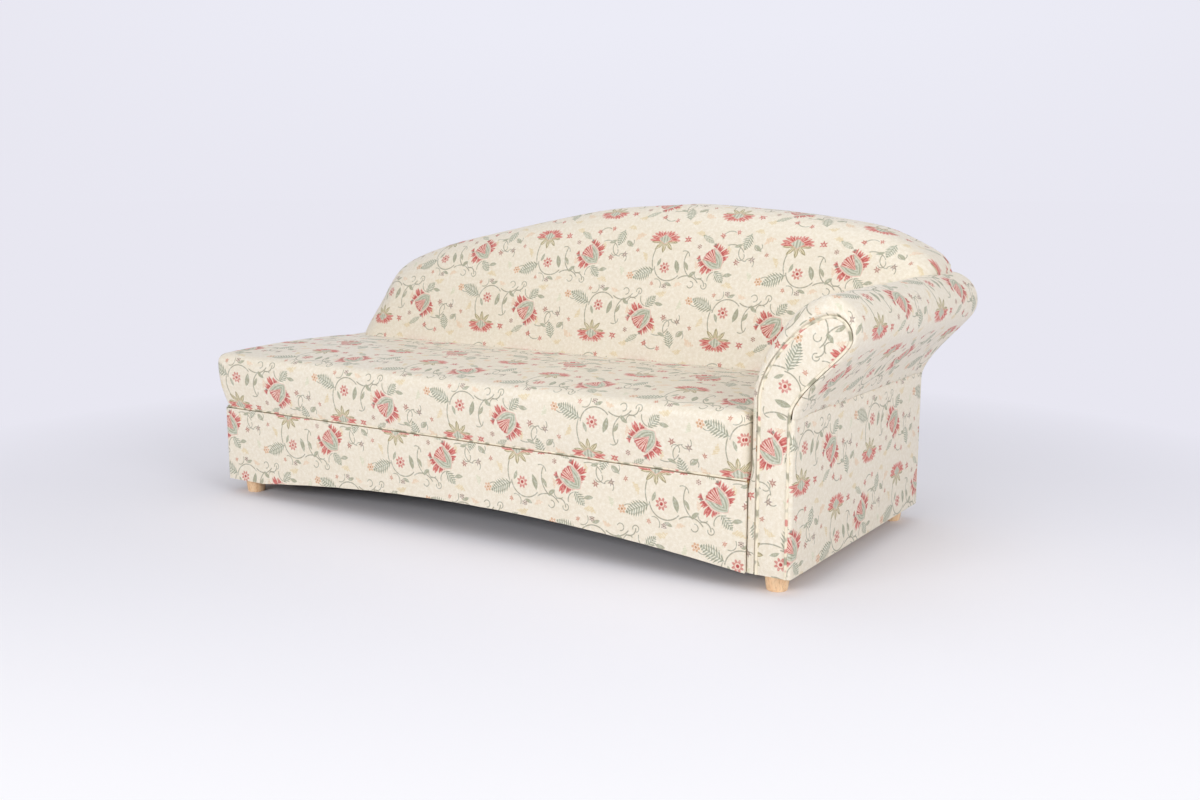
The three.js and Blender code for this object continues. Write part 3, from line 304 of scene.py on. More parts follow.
class Print(Finish):
    """The floral cloth. Motifs are drawn in one repeat, in millimetres; every second row of
    repeats is turned upside down and shifted by half a repeat."""

    def __init__(self, name, **constants):
        super().__init__(name, **constants)
        self.place = self.add("ShaderNodeUVMap", {"uv_map": "cloth"})
        u, v, _ = self.parts(self.place)
        u, v = u * METRE, v * METRE
        rows = v * (1 / ROW)
        row = rows.maths("FLOOR", rows)
        odd = row.maths("FLOORED_MODULO", row, 2.0)
        up = v - row * ROW
        up = up + odd * (ROW - 2 * up)
        self.cell = self.add("ShaderNodeCombineXYZ", None, {0: u + odd * (REPEAT / 2), 1: up})
        self.colour = tone("F0E9DB")

    def at(self, u, v, turn, long, wide):
        """Coordinates of a motif: 1 at its tip and at its side."""
        far = 1e4
        most, least = (u + REPEAT / 2, far, 1), (u - REPEAT / 2, -far, -1)
        folded = self.vector("WRAP", self.cell, most, least)
        inputs = {"Vector": folded, "Location": (u, v, 0), "Rotation": (0, 0, math.radians(turn)),
                  "Scale": (long, wide, 1)}
        return self.add("ShaderNodeMapping", {"vector_type": "TEXTURE"}, inputs)

    def paint(self, mask, code, strength=1.0):
        """Lays a colour over the cloth where the mask is 1."""
        share = mask * strength if strength != 1.0 else mask
        self.colour = self.blend(share, self.colour, tone(code))

    def polar(self, place):
        """A motif's coordinates, its distance from the middle and its angle from the long axis."""
        x, y, _ = self.parts(place)
        return x, y, self.length(place), y.maths("ARCTAN2", y, x)

    def leaf(self, u, v, turn, long, wide, lobes, dark, light):
        """A pointed leaf of half width 1 - x*x, with saw teeth, slanting veins and pale beads."""
        x, y, _ = self.parts(self.at(u, v, turn, long, wide))
        side = abs(y)
        slant = x * lobes - side * 5.0
        veins = (slant * 2.0 + 1.2).sine()
        edge = (1 - x * x) * (1.08 - 0.5 * abs(slant.sine()))
        body = (edge - side).over(1.8 / wide)
        self.paint(body, "CBD0C3", 0.85)
        self.paint((0.08 - abs(edge - side - 0.06)).over(0.12), dark, 0.9)
        self.paint(body * (veins - 0.1).over(0.8), dark, 0.75)
        self.paint(body * (0.07 - side).over(0.1), dark, 0.7)
        beads = (-0.5 - veins).over(0.4) * (0.24 - abs(side - 0.3)).over(0.2)
        self.paint(body * beads, light, 0.9)

    def blade(self, u, v, turn, long, wide, dark, light="C4C8B4"):
        """A slim plain leaf with a pale rib."""
        x, y, _ = self.parts(self.at(u, v, turn, long, wide))
        side = abs(y - 0.2 * x * x)
        body = (1 - x * x - side).over(1.6 / wide)
        self.paint(body, dark, 0.92)
        self.paint(body * (0.1 - side).over(0.15), light, 0.7)

    def ghost(self, u, v, turn, long, wide, code):
        """A faint figure woven tone on tone."""
        x, y, _ = self.parts(self.at(u, v, turn, long, wide))
        bent = y - 0.7 * x * x + 0.25
        edge = (1 - x * x) * (0.55 + 0.45 * abs((x * 5.0).sine()))
        weave = (abs((x * 9.0 + bent * 3.0).sine()) - 0.3).over(0.5)
        self.paint((edge - abs(bent)).over(0.2) * weave, code, 0.7)

    def flower(self, u, v, turn, long, wide):
        """A big flower: a pointed sage body that is open towards the stalk, a fan of coral rays in
        it, and a bunch of ragged coral petals on each flank."""
        x, y, far, angle = self.polar(self.at(u, v, turn, long, wide))
        side = abs(y)
        lean = x + 0.1 + 0.06 * y
        past = side - (0.5 - 0.9 * abs(lean * lean * lean))
        slot = abs((angle * 6.8 + 0.9).sine())
        ragged = abs((angle * 20.0 + far * 5.0).sine())
        reach = 0.36 + 0.18 * ragged + 0.1 * (angle * 5.0 + 1.0).sine() - 0.36 * (x * x)
        bunch = (0.58 - abs(x + 0.04 + 0.16 * y)).over(0.12) * (past - 0.09).over(0.05)
        petals = (reach - past).over(0.06) * bunch * (slot - 0.26 + 0.6 * (0.24 - past)).over(0.24)
        self.paint(petals, "CC6562")
        self.paint(petals * (ragged - 0.75).over(0.3), "E19A91", 0.65)
        self.paint(petals * (0.2 - past).over(0.12), "B54D4F", 0.7)
        shut = (x + 0.5 - 0.2 * side).over(0.06)
        body = (0 - past).over(0.03) * shut
        self.paint((0.026 - abs(past - 0.05)).over(0.03) * shut, "E6AEA4", 0.75)
        self.paint(body, "CCD0C0")
        self.paint(body * ((past * 36.0 + 0.9).sine() - 0.05).over(0.6), "A0A592", 0.8)
        away = 0.36 - x
        ray = y.maths("ARCTAN2", y, away)
        length = (away * away + y * y) ** 0.5
        fan = (0.84 + 0.04 * abs((ray * 13.0).sine()) - length).over(0.05)
        fan = fan * (0.56 - abs(ray)).over(0.06)
        self.paint(fan, "DA9189")
        self.paint(fan * ((ray * 17.0 + 1.4).sine() - 0.05).over(0.55), "C15A59", 0.85)
        gleam = ((ray * 34.0 + 4.2).sine() - 0.5).over(0.4) * (0.8 - length).over(0.1)
        self.paint(fan * gleam, "F6E2D5", 0.9)
        dot = ((x + 0.52) ** 2.0 + (side - 0.66) ** 2.0) ** 0.5
        self.paint((0.07 - dot).over(0.05), "8E8A80", 0.85)

    def star(self, u, v, size, petals, petal_colour, heart_colour, turn=0):
        """A small round flower with notched petals, a pale ring and a heart."""
        _, _, far, angle = self.polar(self.at(u, v, turn, size, size))
        ray = abs((angle * (petals / 2)).sine())
        body = (0.5 + 0.48 * ray - far).over(0.12)
        self.paint(body, petal_colour, 0.85)
        self.paint((0.1 - abs(far - 0.36)).over(0.1), "F6E8DA", 0.8)
        self.paint((0.24 - far).over(0.1), heart_colour)

    def bud(self, u, v, turn, size, code):
        """A bud of three points on a round calyx."""
        x, _, far, angle = self.polar(self.at(u, v, turn, size, size))
        point = 1 - abs((angle * 3.0).sine())
        self.paint((0.42 + 0.56 * point - far).over(0.16) * (x + 0.5).over(0.1), code, 0.92)
        self.paint((0.2 - far).over(0.12), "E9D8C4", 0.7)

    def lotus(self, u, v, turn, long, wide):
        """A flower on a stalk: ochre spikes above, ragged coral petals below that are longest on
        the flanks, and a pale pointed heart."""
        x, y, far, angle = self.polar(self.at(u, v, turn + 90, long, wide))
        side = abs(y)
        point = 1 - abs((angle * 4.5).sine())
        reach = 0.38 + 0.6 * point ** 0.5
        spikes = (reach - far).over(0.06) * (x + 0.02).over(0.06)
        self.paint(spikes, "DDD3B2", 0.9)
        self.paint(spikes * (0.07 - abs(reach - far - 0.05)).over(0.08), "A59C79", 0.85)
        self.paint(spikes * ((angle * 27.0).sine() - 0.2).over(0.7), "978E6E", 0.7)
        ragged = abs((angle * 11.0).sine())
        slot = abs((angle * 4.5 + 0.3).sine())
        petals = (0.5 + 0.4 * side + 0.16 * ragged - far).over(0.06) * (0.1 - x).over(0.08)
        petals = petals * (slot - 0.14).over(0.22)
        self.paint(petals, "CD6764")
        self.paint(petals * (ragged - 0.8).over(0.3), "E7AAA1", 0.7)
        inside = 0.36 - 0.8 * side - abs(x + 0.08)
        heart = inside.over(0.04)
        self.paint((inside + 0.05).over(0.04), "E9B7AC", 0.9)
        self.paint(heart, "D3D6C8")
        self.paint(heart * (y * 30.0).sine().over(0.7), "9CA18D", 0.7)

    def stalk(self, u, v, radius, middle, spread, thick=1.7, code="A6A493"):
        """Arc of a stalk round (u, v): spread degrees to both sides of its middle direction."""
        place = self.at(u, v, middle, radius, radius)
        x, far = self.parts(place)[0], self.length(place)
        line = (thick / radius - abs(far - 1)).over(1.3 / radius)
        self.paint(line * (x - far * math.cos(math.radians(spread))).over(0.06), code, 0.92)


def cloth_finish():
    """Woven cream cloth with its floral pattern, uneven in tone, satin where it is plain."""
    cloth = Print("floral cloth", Specular_IOR_Level=0.5, Sheen_Weight=0.1, Sheen_Roughness=0.5)
    where = cloth.place
    ochre, rose, sage = "E3CFA0", "EBCDAE", "D9DCC2"
    motifs = {
        cloth.ghost: [
            (230, 26, 20, 17, 9, ochre), (22, 40, -30, 20, 10, rose),
            (345, 182, 10, 19, 9, "E5D2A4"), (410, 150, 70, 15, 8, sage),
            (180, 186, -20, 15, 7, rose), (52, 104, 60, 18, 8, ochre),
            (232, 126, 80, 14, 7, "E9CBB0"), (420, 12, 10, 16, 8, ochre),
            (330, 74, 95, 14, 7, "E5D2A4"),
        ],
        cloth.stalk: [
            (139, 127, 49, 106, 66), (207, 206, 48, -82, 46), (247, 186, 21, -55, 60),
            (268, 186, 9, 60, 140, 1.4), (247, 150, 16, 120, 75, 1.4), (222, 184, 10, 30, 130, 1.4),
            (162, 108, 83, 180, 22), (250, 112, 60, 165, 42), (187, 98, 17, -60, 60, 1.4),
            (342, 100, 44, -70, 42, 1.4), (392, 78, 28, 150, 62, 1.5), (372, 92, 12, 60, 100, 1.3),
            (403, 112, 15, -60, 100, 1.3), (330, 40, 26, -120, 62, 1.4),
            (104, 190, 18, -40, 70, 1.3), (30, 172, 22, -80, 50, 1.3),
            (424, 60, 12, 80, 120, 1.3), (300, 165, 24, -150, 45, 1.4),
        ],
        cloth.leaf: [
            (55, 157, 156, 38, 21, 15.0, "989C88", "F3EFE2"),
            (312, 157, 48, 23, 16, 10.0, "9DA08D", "F1ECDD"),
            (388, 46, 105, 27, 17, 12.0, "9A9E8A", "F3EFE2"),
            (258, 42, 30, 24, 10, 10.0, "A9AB97", "F1ECDD"),
        ],
        cloth.blade: [
            (168, 131, 72, 22, 8, "A2A48F"), (147, 186, 20, 13, 5, "A6A893"),
            (200, 128, 60, 15, 5, "A8A892"), (104, 120, 110, 14, 5, "AAAC98"),
            (340, 150, -10, 15, 6, "AAAC98"), (222, 152, -40, 14, 6, "A6A893"),
            (424, 64, 40, 16, 6, "ABAD99"), (360, 60, 160, 14, 5, "ABAD99"),
        ],
        cloth.lotus: [(110, 50, 0, 41, 47)],
        cloth.flower: [(283, 103, 42, 56, 51)],
        cloth.star: [
            (126, 136, 18, 8, "D17A74", "BE5352"), (9, 165, 13, 6, "DDAC86", "C3936A", 20),
            (134, 193, 9, 6, "A08C84", "7C6A60"), (232, 66, 8, 6, "B08A80", "8C6F5E"),
        ],
        cloth.bud: [
            (189, 46, -95, 14, "CB6A66"), (362, 110, 120, 12, "B7857B"),
            (410, 100, 40, 12, "A5928A"), (303, 30, -60, 11, "CB7069"),
            (352, 17, -20, 10, "CE7C73"), (90, 186, 150, 9, "D49A86"), (20, 84, 30, 9, "C98F80"),
        ],
    }
    for draw, figures in motifs.items():
        for figure in figures:
            draw(*figure)

    tint = cloth.noise(where, 3.0, 2.0)
    worn = cloth.blend((tint - 0.5).over(1.6) * 0.35, cloth.colour, tone("F3ECDC"), "MULTIPLY")
    fine = cloth.noise(cloth.stretched(where, (420, 1300, 1)), 1.0, 1.0)
    cross = cloth.noise(cloth.stretched(where, (1300, 420, 1)), 1.0, 1.0)
    damask = cloth.noise(where, 95.0, 3.0, 0.7)
    worn = cloth.blend((damask - 0.52).over(0.16) * 0.22, worn, tone("E3D9C3"), "MULTIPLY")
    worn = cloth.blend((0.42 - damask).over(0.1) * 0.28, worn, tone("FBF6EC"))
    shade = cloth.blend((fine * cross * 4 - 0.5).over(1.4) * 0.2, worn, tone("A99C80"), "MULTIPLY")
    puckers = cloth.noise(where, 24.0, 3.0)
    height = fine * 0.5 + cross * 0.5 + puckers * 3.0
    printed = 0.8 - cloth.parts(cloth.colour)[1]
    rough = 0.38 + 0.12 * fine + 0.9 * printed
    return cloth.show(Base_Color=shade, Roughness=rough, Normal=cloth.bump(height, 0.25, 0.0011))


def piping_finish():
    """The same cloth cut on the bias round a cord: bands of its colours, with slanting threads."""
    cord = Finish("piping cloth", Specular_IOR_Level=0.3, Sheen_Weight=0.1)
    where = cord.add("ShaderNodeUVMap", {"uv_map": "cloth"})
    bands = cord.noise(where, 34.0, 1.0, 0.4)
    colour = cord.blend((bands - 0.57).over(0.1), tone("E6DCC6"), tone("A29E88"))
    colour = cord.blend((0.34 - bands).over(0.06), colour, tone("CE8A80"))
    fine = cord.noise(cord.stretched(where, (900, 300, 1), 0.7), 1.0, 1.0)
    bump = cord.bump(fine, 0.3, 0.0008)
    return cord.show(Base_Color=colour, Roughness=0.55 + 0.25 * fine, Normal=bump)


def wood_finish(name, pale, dark, gloss, grain=60.0):
    """Wood: long grain along z in stretched noise, fine pores, and a slow change of tone."""
    wood = Finish(name, Specular_IOR_Level=0.4)
    where = wood.add("ShaderNodeTexCoord", output=3)
    long = wood.stretched(where, (1, 1, 0.09))
    rings = wood.noise(long, grain, 4.0, 0.6)
    pores = wood.noise(long, grain * 9, 2.0)
    colour = wood.blend((rings - 0.5).over(0.35), tone(pale), tone(dark))
    colour = wood.blend((pores - 0.6).over(0.12) * 0.35, colour, tone("7A4E2C"), "MULTIPLY")
    bump = wood.bump(rings + pores, 0.15, 0.0006)
    return wood.show(Base_Color=colour, Roughness=gloss + 0.15 * pores, Normal=bump)


def steel_finish():
    """Zinc plated wire and screws: a faint mottle."""
    steel = Finish("zinc plated steel", Metallic=0.95)
    where = steel.add("ShaderNodeTexCoord", output=3)
    mottle = steel.noise(where, 220.0, 3.0)
    colour = steel.blend(mottle, tone("8A8E92"), tone("B4B7BA"))
    return steel.show(Base_Color=colour, Roughness=0.28 + 0.2 * mottle)


def lining_finish():
    """Thin black non-woven cloth: loose fibres."""
    lining = Finish("black lining", Specular_IOR_Level=0.2)
    where = lining.add("ShaderNodeTexCoord", output=3)
    fibres = lining.noise(where, 900.0, 2.0)
    colour = lining.blend(fibres, tone("1A1A1C"), tone("333336"))
    bump = lining.bump(fibres, 0.4, 0.0005)
    return lining.show(Base_Color=colour, Roughness=0.85 + 0.1 * fibres, Normal=bump)


FINISHES = {
    "cloth": cloth_finish(),
    "piping": piping_finish(),
    "beech": wood_finish("lacquered beech", "F6D9B4", "E9BF93", 0.35),
    "timber": wood_finish("sawn timber", "D9B98A", "BE9562", 0.7, 24.0),
    "steel": steel_finish(),
    "lining": lining_finish(),
}
for part in frame["record"]["subparts"]:
    solid = frame["nodes"][part["node"]]
    solid.data.materials.clear()
    solid.data.materials.append(FINISHES[part["material_slot"]])

# Seat slab

# Power of the superellipse in its edges, and how far its end and its front swell out
EDGE_POWER = 2.6
SWELL_END, SWELL_FRONT = 30, 16
SQUARE_RUN = np.linspace(0, 2, 81)
square = joined(np.minimum(SQUARE_RUN, 1), np.minimum(2 - SQUARE_RUN, 1))
ARC_RUN = run_of(square / np.linalg.norm(square, ord=EDGE_POWER, axis=1)[:, None])


def lost(past):
    """Cloth saved at a place past an edge, where it turns a rounded edge and not a square one."""
    walk = np.clip(past + EDGE, 0, 2 * EDGE)
    return walk - np.interp(walk / EDGE, SQUARE_RUN, ARC_RUN) * EDGE


def steps(low, high, fine_low, fine_high, coarse):
    """Grid lines that are closer where an edge is rounded."""
    a = low + (EDGE if fine_low else 0)
    b = high - (EDGE if fine_high else 0)
    parts = [np.linspace(a, b, max(int((b - a) / coarse), 1) + 1)]
    if fine_low:
        parts.insert(0, np.linspace(low, a, 10)[:-1])
    if fine_high:
        parts.append(np.linspace(b, high, 10)[1:])
    return np.concatenate(parts)


def slab_surface(q):
    """A box whose free edges are rounded by a superellipse, swelling towards its top, with a
    crown over the whole and shallow puckers above the seam."""
    low = np.array([LEFT + EDGE, FRONT + EDGE, SEAM + GAP])
    high = np.array([ARM - GAP - EDGE, SLAB_END - GAP, SEAT - EDGE])
    core = np.clip(q, low, high)
    out = q - core
    size = np.abs(out)
    rounder = np.sum(size ** EDGE_POWER, -1) ** (1 / EDGE_POWER)
    out = out * (size.max(-1) / np.maximum(rounder, 1e-9))[..., None]
    p = core + out
    x, y, z = np.moveaxis(p, -1, 0)
    up = np.clip((q[..., 2] - SEAM) / (SEAT - EDGE - SEAM), 0, 1)
    swell = 0.05 + 0.95 * (1 - (1 - up) ** 2.2)
    inward_x = np.clip((x - LEFT) / 320, 0, 1)
    inward_y = np.clip((y - FRONT) / 300, 0, 1)
    x -= SWELL_END * swell * (1 - smooth(inward_x))
    y -= SWELL_FRONT * swell * (1 - smooth(inward_y))
    rise = smooth((z - (SEAT - EDGE)) / EDGE)
    across = np.clip((y - FRONT) / (BACK - FRONT), 0, 1)
    lift = 9 * np.sin(np.pi * across)
    middle = 8 * (1 - np.clip(np.abs(y + 95) / 336, 0, 1) ** 2)
    ends = np.clip(np.minimum(x - LEFT, ARM - x) / 280, 0, 1)
    crown = (lift + middle * np.sin(np.pi / 2 * ends)) * rise
    foot = smooth((BACK - 1 - y) / 16)
    z += crown * foot
    drawn = 4.5 * quarter((z - SEAM) / 6)
    y += drawn * (y < FRONT + 20)
    x += drawn * (x < LEFT + 20)
    near_seam = np.exp(-(z - SEAM) / 26) * (1 - inward_y) * smooth((z - SEAM) / 8)
    y -= 1.6 * near_seam * ripples(x, z * 0.2, 46, 5)
    z += 0.8 * rise * foot * ripples(x, y, 210, 8)
    return p


def seat_slab():
    """The slab's six sides as grids on its box, each laid on the cloth as if unfolded."""
    xs = steps(LEFT, ARM - GAP, True, True, 10)
    ys = steps(FRONT, SLAB_END - GAP, True, False, 10)
    zs = steps(SEAM + GAP, SEAT, False, True, 9)
    zs = np.concatenate([SEAM + np.array([GAP, 0.9, 1.8, 3.2, 5, 7.5]), zs[1:]])
    x0, x1, y0, y1, z0, z1 = xs[0], xs[-1], ys[0], ys[-1], zs[0], zs[-1]
    u0, v0 = SHIFT + LEFT, SEAM - 241

    def side(x, y, z):
        return joined(*np.meshgrid(x, y, z, indexing="ij")).squeeze()

    def along(x):
        return u0 + x - x0 - lost(x - x0) - lost(x - x1)

    def upward(z):
        return v0 + z - z0 - lost(z - z1)

    def inward(y):
        return y - y0 - lost(y - y0)

    places = [
        (side(xs, ys, z1), lambda x, y, z: (along(x), v0 + z1 - z0 + inward(y))),
        (side(xs, y0, zs), lambda x, y, z: (along(x), upward(z))),
        (side(x0, ys, zs), lambda x, y, z: (u0 - inward(y), upward(z))),
        (side(x1, ys, zs), lambda x, y, z: (along(x1) + inward(y), upward(z))),
        (side(xs, y1, zs), lambda x, y, z: (u0 + x, v0 + z)),
        (side(xs, ys, z0), lambda x, y, z: (u0 + x, v0 + y)),
    ]
    patches = [(slab_surface(grid), laid(*np.moveaxis(grid, -1, 0))) for grid, laid in places]
    make("seat_slab", patches, ["seat_pad"])


# Box covers


def arch(x):
    """Lower edge of the front: a shallow parabola between its two flat parts."""
    t = np.clip((x - ARCH_LEFT) / (ARCH_RIGHT - ARCH_LEFT), 0, 1)
    return FOOT + 4 * ARCH_RISE * t * (1 - t)


def box_cover():
    """Cloth over wadding round the front, the open end and the rear of the box. An upright section
    with softly rounded lower and upper edges is carried along a plan line; its face bulges in the
    middle, and both ends are closed."""
    corner = np.linspace(0, np.pi / 2, 9)[1:-1]
    r = CORNER
    near_arm = ARM - GAP - np.array([0, 0.4, 1.2, 2.6, 4.6, 7.0])
    plan = np.concatenate([
        joined(np.concatenate([near_arm, np.linspace(ARM - 16, LEFT + r, 190)]), FRONT),
        (LEFT + r, FRONT + r) + r * joined(-np.sin(corner), -np.cos(corner)),
        joined(LEFT, np.linspace(FRONT + r, REAR - r, 80)),
        (LEFT + r, REAR - r) + r * joined(-np.cos(corner), np.sin(corner)),
        joined(np.linspace(LEFT + r, ARM - GAP, 120), REAR),
    ])
    low = np.where(plan[:, 1] < FRONT + 1, arch(plan[:, 0]), FOOT) + 0.2
    low = (low + 0.5 * ripples(plan[:, 0], plan[:, 1], 90, 3))[:, None]
    high = SEAM - GAP
    up = np.concatenate([[0, 0.006, 0.015], np.linspace(0.03, 0.96, 20), [0.975, 0.985, 0.993, 1]])
    bulge = np.sin(np.pi * up)
    run = run_of(plan)[:, None]
    z = low + (high - low) * up
    seam = np.where(plan[:, 1:] > REAR - 1, 1.6, 5.0)
    tuck = 3.5 * quarter((z - low) / 4.5) + seam * quarter((high - z) / 5)
    tuck = tuck + 0.8 * quarter(run / 4.6)
    wave = 0.9 * ripples(run, z * 0.6, 260, 21) * bulge
    proud = (1.6 * bulge + wave) * smooth(run / 30) - tuck
    out = sideways(plan)
    face = plan[:, None] + out[:, None] * proud[..., None]
    inner = plan - out * COVER
    patches = slab_of(joined(face[..., 0], face[..., 1], z), joined(inner[:, :1], inner[:, 1:], z),
                      (ARM - run + SHIFT, z - 323))
    make("box_cover", patches, ["base_front_cover", "base_left_cover", "base_rear_cover"])


def cord(line, radius, name, sides=10, replaces=()):
    """A round cord along a line of points: a ring of points square to it at each, ends closed."""
    along = np.gradient(line, axis=0)
    along /= np.linalg.norm(along, axis=1, keepdims=True)
    level = abs(along[0, 2]) < 0.5 and np.ptp(line[:, 2]) < 30
    side = np.cross(along, [0.0, 0.0, 1.0] if level else [0.0, 1.0, 0.0])
    side /= np.linalg.norm(side, axis=1, keepdims=True)
    lift = np.cross(side, along)
    angle = np.linspace(0, 2 * np.pi, sides + 1)
    angle[-1] = 0
    ring = side[:, None] * np.cos(angle)[:, None] + lift[:, None] * np.sin(angle)[:, None]
    run = run_of(line)
    tube = line[:, None] + radius * ring
    first, last = (np.repeat(line[end, None], sides + 1, 1) for end in (np.s_[:1], np.s_[-1:]))
    tube = np.concatenate([first, tube, last])
    run = np.concatenate([run[:1], run, run[-1:]])
    across = np.linspace(0, 2 * np.pi, sides + 1) * radius
    make(name, [(tube, (run[:, None], across[None, :]))], replaces, "piping")


def welts():
    """Two thin cords side by side in the seam between slab and box, round the open end."""
    corner = np.linspace(0, np.pi / 2, 9)[1:-1]
    r, proud = CORNER, 1.0
    plan = np.concatenate([
        joined(np.linspace(ARM - 3, LEFT + r, 200), FRONT - proud),
        (LEFT + r, FRONT + r) + (r + proud) * joined(-np.sin(corner), -np.cos(corner)),
        joined(LEFT - proud, np.linspace(FRONT + r, SLAB_END - 5, 80)),
    ])
    for number, level in enumerate((SEAM - 3.4, SEAM + 3.4), 1):
        line = joined(*plan.T, level)
        line[:, 2] += 0.35 * ripples(line[:, 0], line[:, 1], 120, 30 + number)
        cord(line, 2.7, f"seat_welt_{number}")


# Arm


def curve(p0, p1, p2, p3, count):
    """Cubic curve through p0 and p3 with handles p1 and p2, without its first point."""
    t = np.linspace(0, 1, count + 1)[1:, None]
    p0, p1, p2, p3 = map(np.array, (p0, p1, p2, p3))
    return (1 - t) ** 3 * p0 + 3 * (1 - t) ** 2 * t * p1 + 3 * (1 - t) * t * t * p2 + t ** 3 * p3


def scroll(inner, outer, crown, tip, under, neck, spring):
    """Scroll of the arm seen from the front, in x and z: up the inner face, over the roll, under
    it and down the outer face. The same curves as in the solid."""
    lean, rise = crown[0] - inner, crown[1] - spring
    drop, run, fall = tip[1] - under[1], under[0] - outer, under[1] - neck
    slope = np.array([run * 0.4, fall * 0.34])
    tuck = slope / np.linalg.norm(slope) * drop * 0.36
    q = 0.5523  # handle of a quarter circle
    return np.concatenate([
        joined(inner, np.linspace(FOOT, spring, 45)),
        curve((inner, spring), (inner, spring + rise * 0.38),
              (crown[0] - lean * 0.395, crown[1]), crown, 36),
        curve(crown, (crown[0] + (tip[0] - crown[0]) * q, crown[1]),
              (tip[0], tip[1] + (crown[1] - tip[1]) * q), tip, 22),
        curve(tip, (tip[0], tip[1] - drop * 0.36), np.array(under) + tuck, under, 9),
        curve(under, np.array(under) - slope,
              (outer + run * 0.05, neck + fall * 0.31), (outer, neck), 26),
        joined(outer, np.linspace(neck, FOOT, 38)[1:]),
    ])


# Outlines of the padding and of the boards, and which of their points are crown, tip and underside
SKIN = scroll(ARM, OUTER, (OUTER + 68, 732), (OUTER + 152, 652), (OUTER + 132, 603), 425, 480)
BOARD = scroll(ARM + 23, OUTER - 10,
               (OUTER + 88, 689), (OUTER + 137, 636), (OUTER + 119, 603), 445, 480)
CROWN_AT, TIP_AT, UNDER_AT = 80, 102, 111


def arm_roll():
    """Padding of the arm between the boards' outline and the skin. Each section runs from the
    front board over a rounded shoulder and back along the skin; a second line follows it on the
    boards. Folds fan out from the front edge, and puckers gather where the cloth is tucked in."""
    last = int(np.argmax((np.arange(len(SKIN)) > UNDER_AT) & (SKIN[:, 1] < CREASE)))
    share = (SKIN[last - 1, 1] - CREASE) / (SKIN[last - 1, 1] - SKIN[last, 1])
    skin = np.concatenate([SKIN[:last], [SKIN[last - 1] + (SKIN[last] - SKIN[last - 1]) * share]])
    cut = BOARD[last - 1] + (BOARD[last] - BOARD[last - 1]) * share
    board = np.concatenate([BOARD[:last], [(cut[0], CREASE)]])
    run = run_of(skin)[:, None]
    out = -sideways(skin)
    rear = OUTSIDE - GAP
    angle = np.linspace(0, np.pi / 2, 15)
    shares = np.concatenate([0.16 + 0.84 * np.sin(angle), np.ones(80)])[None, :]
    low_down = 1 - smooth((skin[:, 1] - 250) / 70)
    low_down[UNDER_AT:] = 0
    depth = (36 - 33.5 * low_down)[:, None]
    shoulder = FRONT + depth * (1 - np.cos(angle))[None, :]
    steady = np.linspace(0, 1, 81)[None, 1:]
    y = np.concatenate([shoulder, FRONT + depth + (rear - FRONT - depth) * steady], 1)
    line = board[:, None] + (skin - board)[:, None] * shares[..., None]
    to_end = run[-1] - run
    back_from_front = y - FRONT
    pucker = 2.4 * np.exp(-to_end / 34) * ripples(y, to_end * 0.5, 30, 11)
    pucker = pucker - 2.5 * np.exp(-to_end / 5)
    fan = ripples(run, back_from_front * 0.25, 34, 19)
    fan = 3.0 * np.exp(-(back_from_front / 52) ** 2) * fan
    fan = fan * smooth(back_from_front / 14)
    uneven = 1.2 * ripples(y, run, 150, 12)
    ease = smooth((y - FRONT - 30) / 60) * smooth((rear - y) / 30)
    moved = (pucker + uneven) * ease + fan
    moved = moved * smooth((run - 420) / 60) * smooth((rear - y) / 20)
    line = line + out[:, None] * moved[..., None]
    outer = joined(line[..., 0], y, line[..., 1])
    inner = joined(board[:, :1], np.maximum(y, FRONT + 5), board[:, 1:])
    back_along = run_of(np.moveaxis(outer, 1, 0)).T
    place = (rear + ARM_SHIFT + back_along - back_along[:, -1:], run - ARM_RISE)
    patches = [(outer, place), (inner, (y + ARM_SHIFT, run - ARM_RISE))]
    for k in (0, -1):
        patches.append((np.stack([outer[:, k], inner[:, k]], 1), (y[:, k, None], run - ARM_RISE)))
        patches.append((np.stack([outer[k], inner[k]], 0), (y[k][None, :], run[k])))
    make("arm_roll", patches, ["arm_pad"])


def two_sides(line, count):
    """The scroll's outline as two lines from its foot to its tip, one up the inner face and over
    the crown, one up the outer face and under the roll, with points that face each other."""
    inner, outer = line[:TIP_AT + 1], line[TIP_AT:][::-1]
    straight_in, rest_in = inner[:41], inner[40:]
    straight_out, rest_out = outer[:36], outer[35:]
    a, b = int(count * 0.42), count - int(count * 0.42) + 1
    first = np.concatenate([evenly(straight_in, a), evenly(rest_in, b)[1:]])
    second = np.concatenate([evenly(straight_out, a), evenly(rest_out, b)[1:]])
    return first, second


def panel_of(line, name, front, thick, bulge, replaces, place, count=90, wide=22):
    """A padded panel of the scroll's shape: a bulging face, a flat back, a rim between."""
    left, right = two_sides(line, count)
    across = np.linspace(0, 1, wide)[:, None]
    flat = left[:, None] * (1 - across) + right[:, None] * across
    rows = np.linspace(0, 1, len(left))
    foot, tip = 1 - (1 - np.clip(rows * 30, 0, 1)) ** 2, 1 - np.clip(rows * 12 - 11, 0, 1) ** 2
    proud = (1 - np.abs(2 * across[:, 0] - 1) ** 3)[None, :] * foot[:, None] * tip[:, None]
    x, z = flat[..., 0], flat[..., 1]
    face, back = joined(x, front - bulge * proud, z), joined(x, front + thick, z)
    make(name, slab_of(face, back, place(x, z)), replaces)


def grounded(line):
    """The same line with both of its ends at the height of the feet's tops."""
    line = line.copy()
    line[[0, -1], 1] = FOOT
    return line


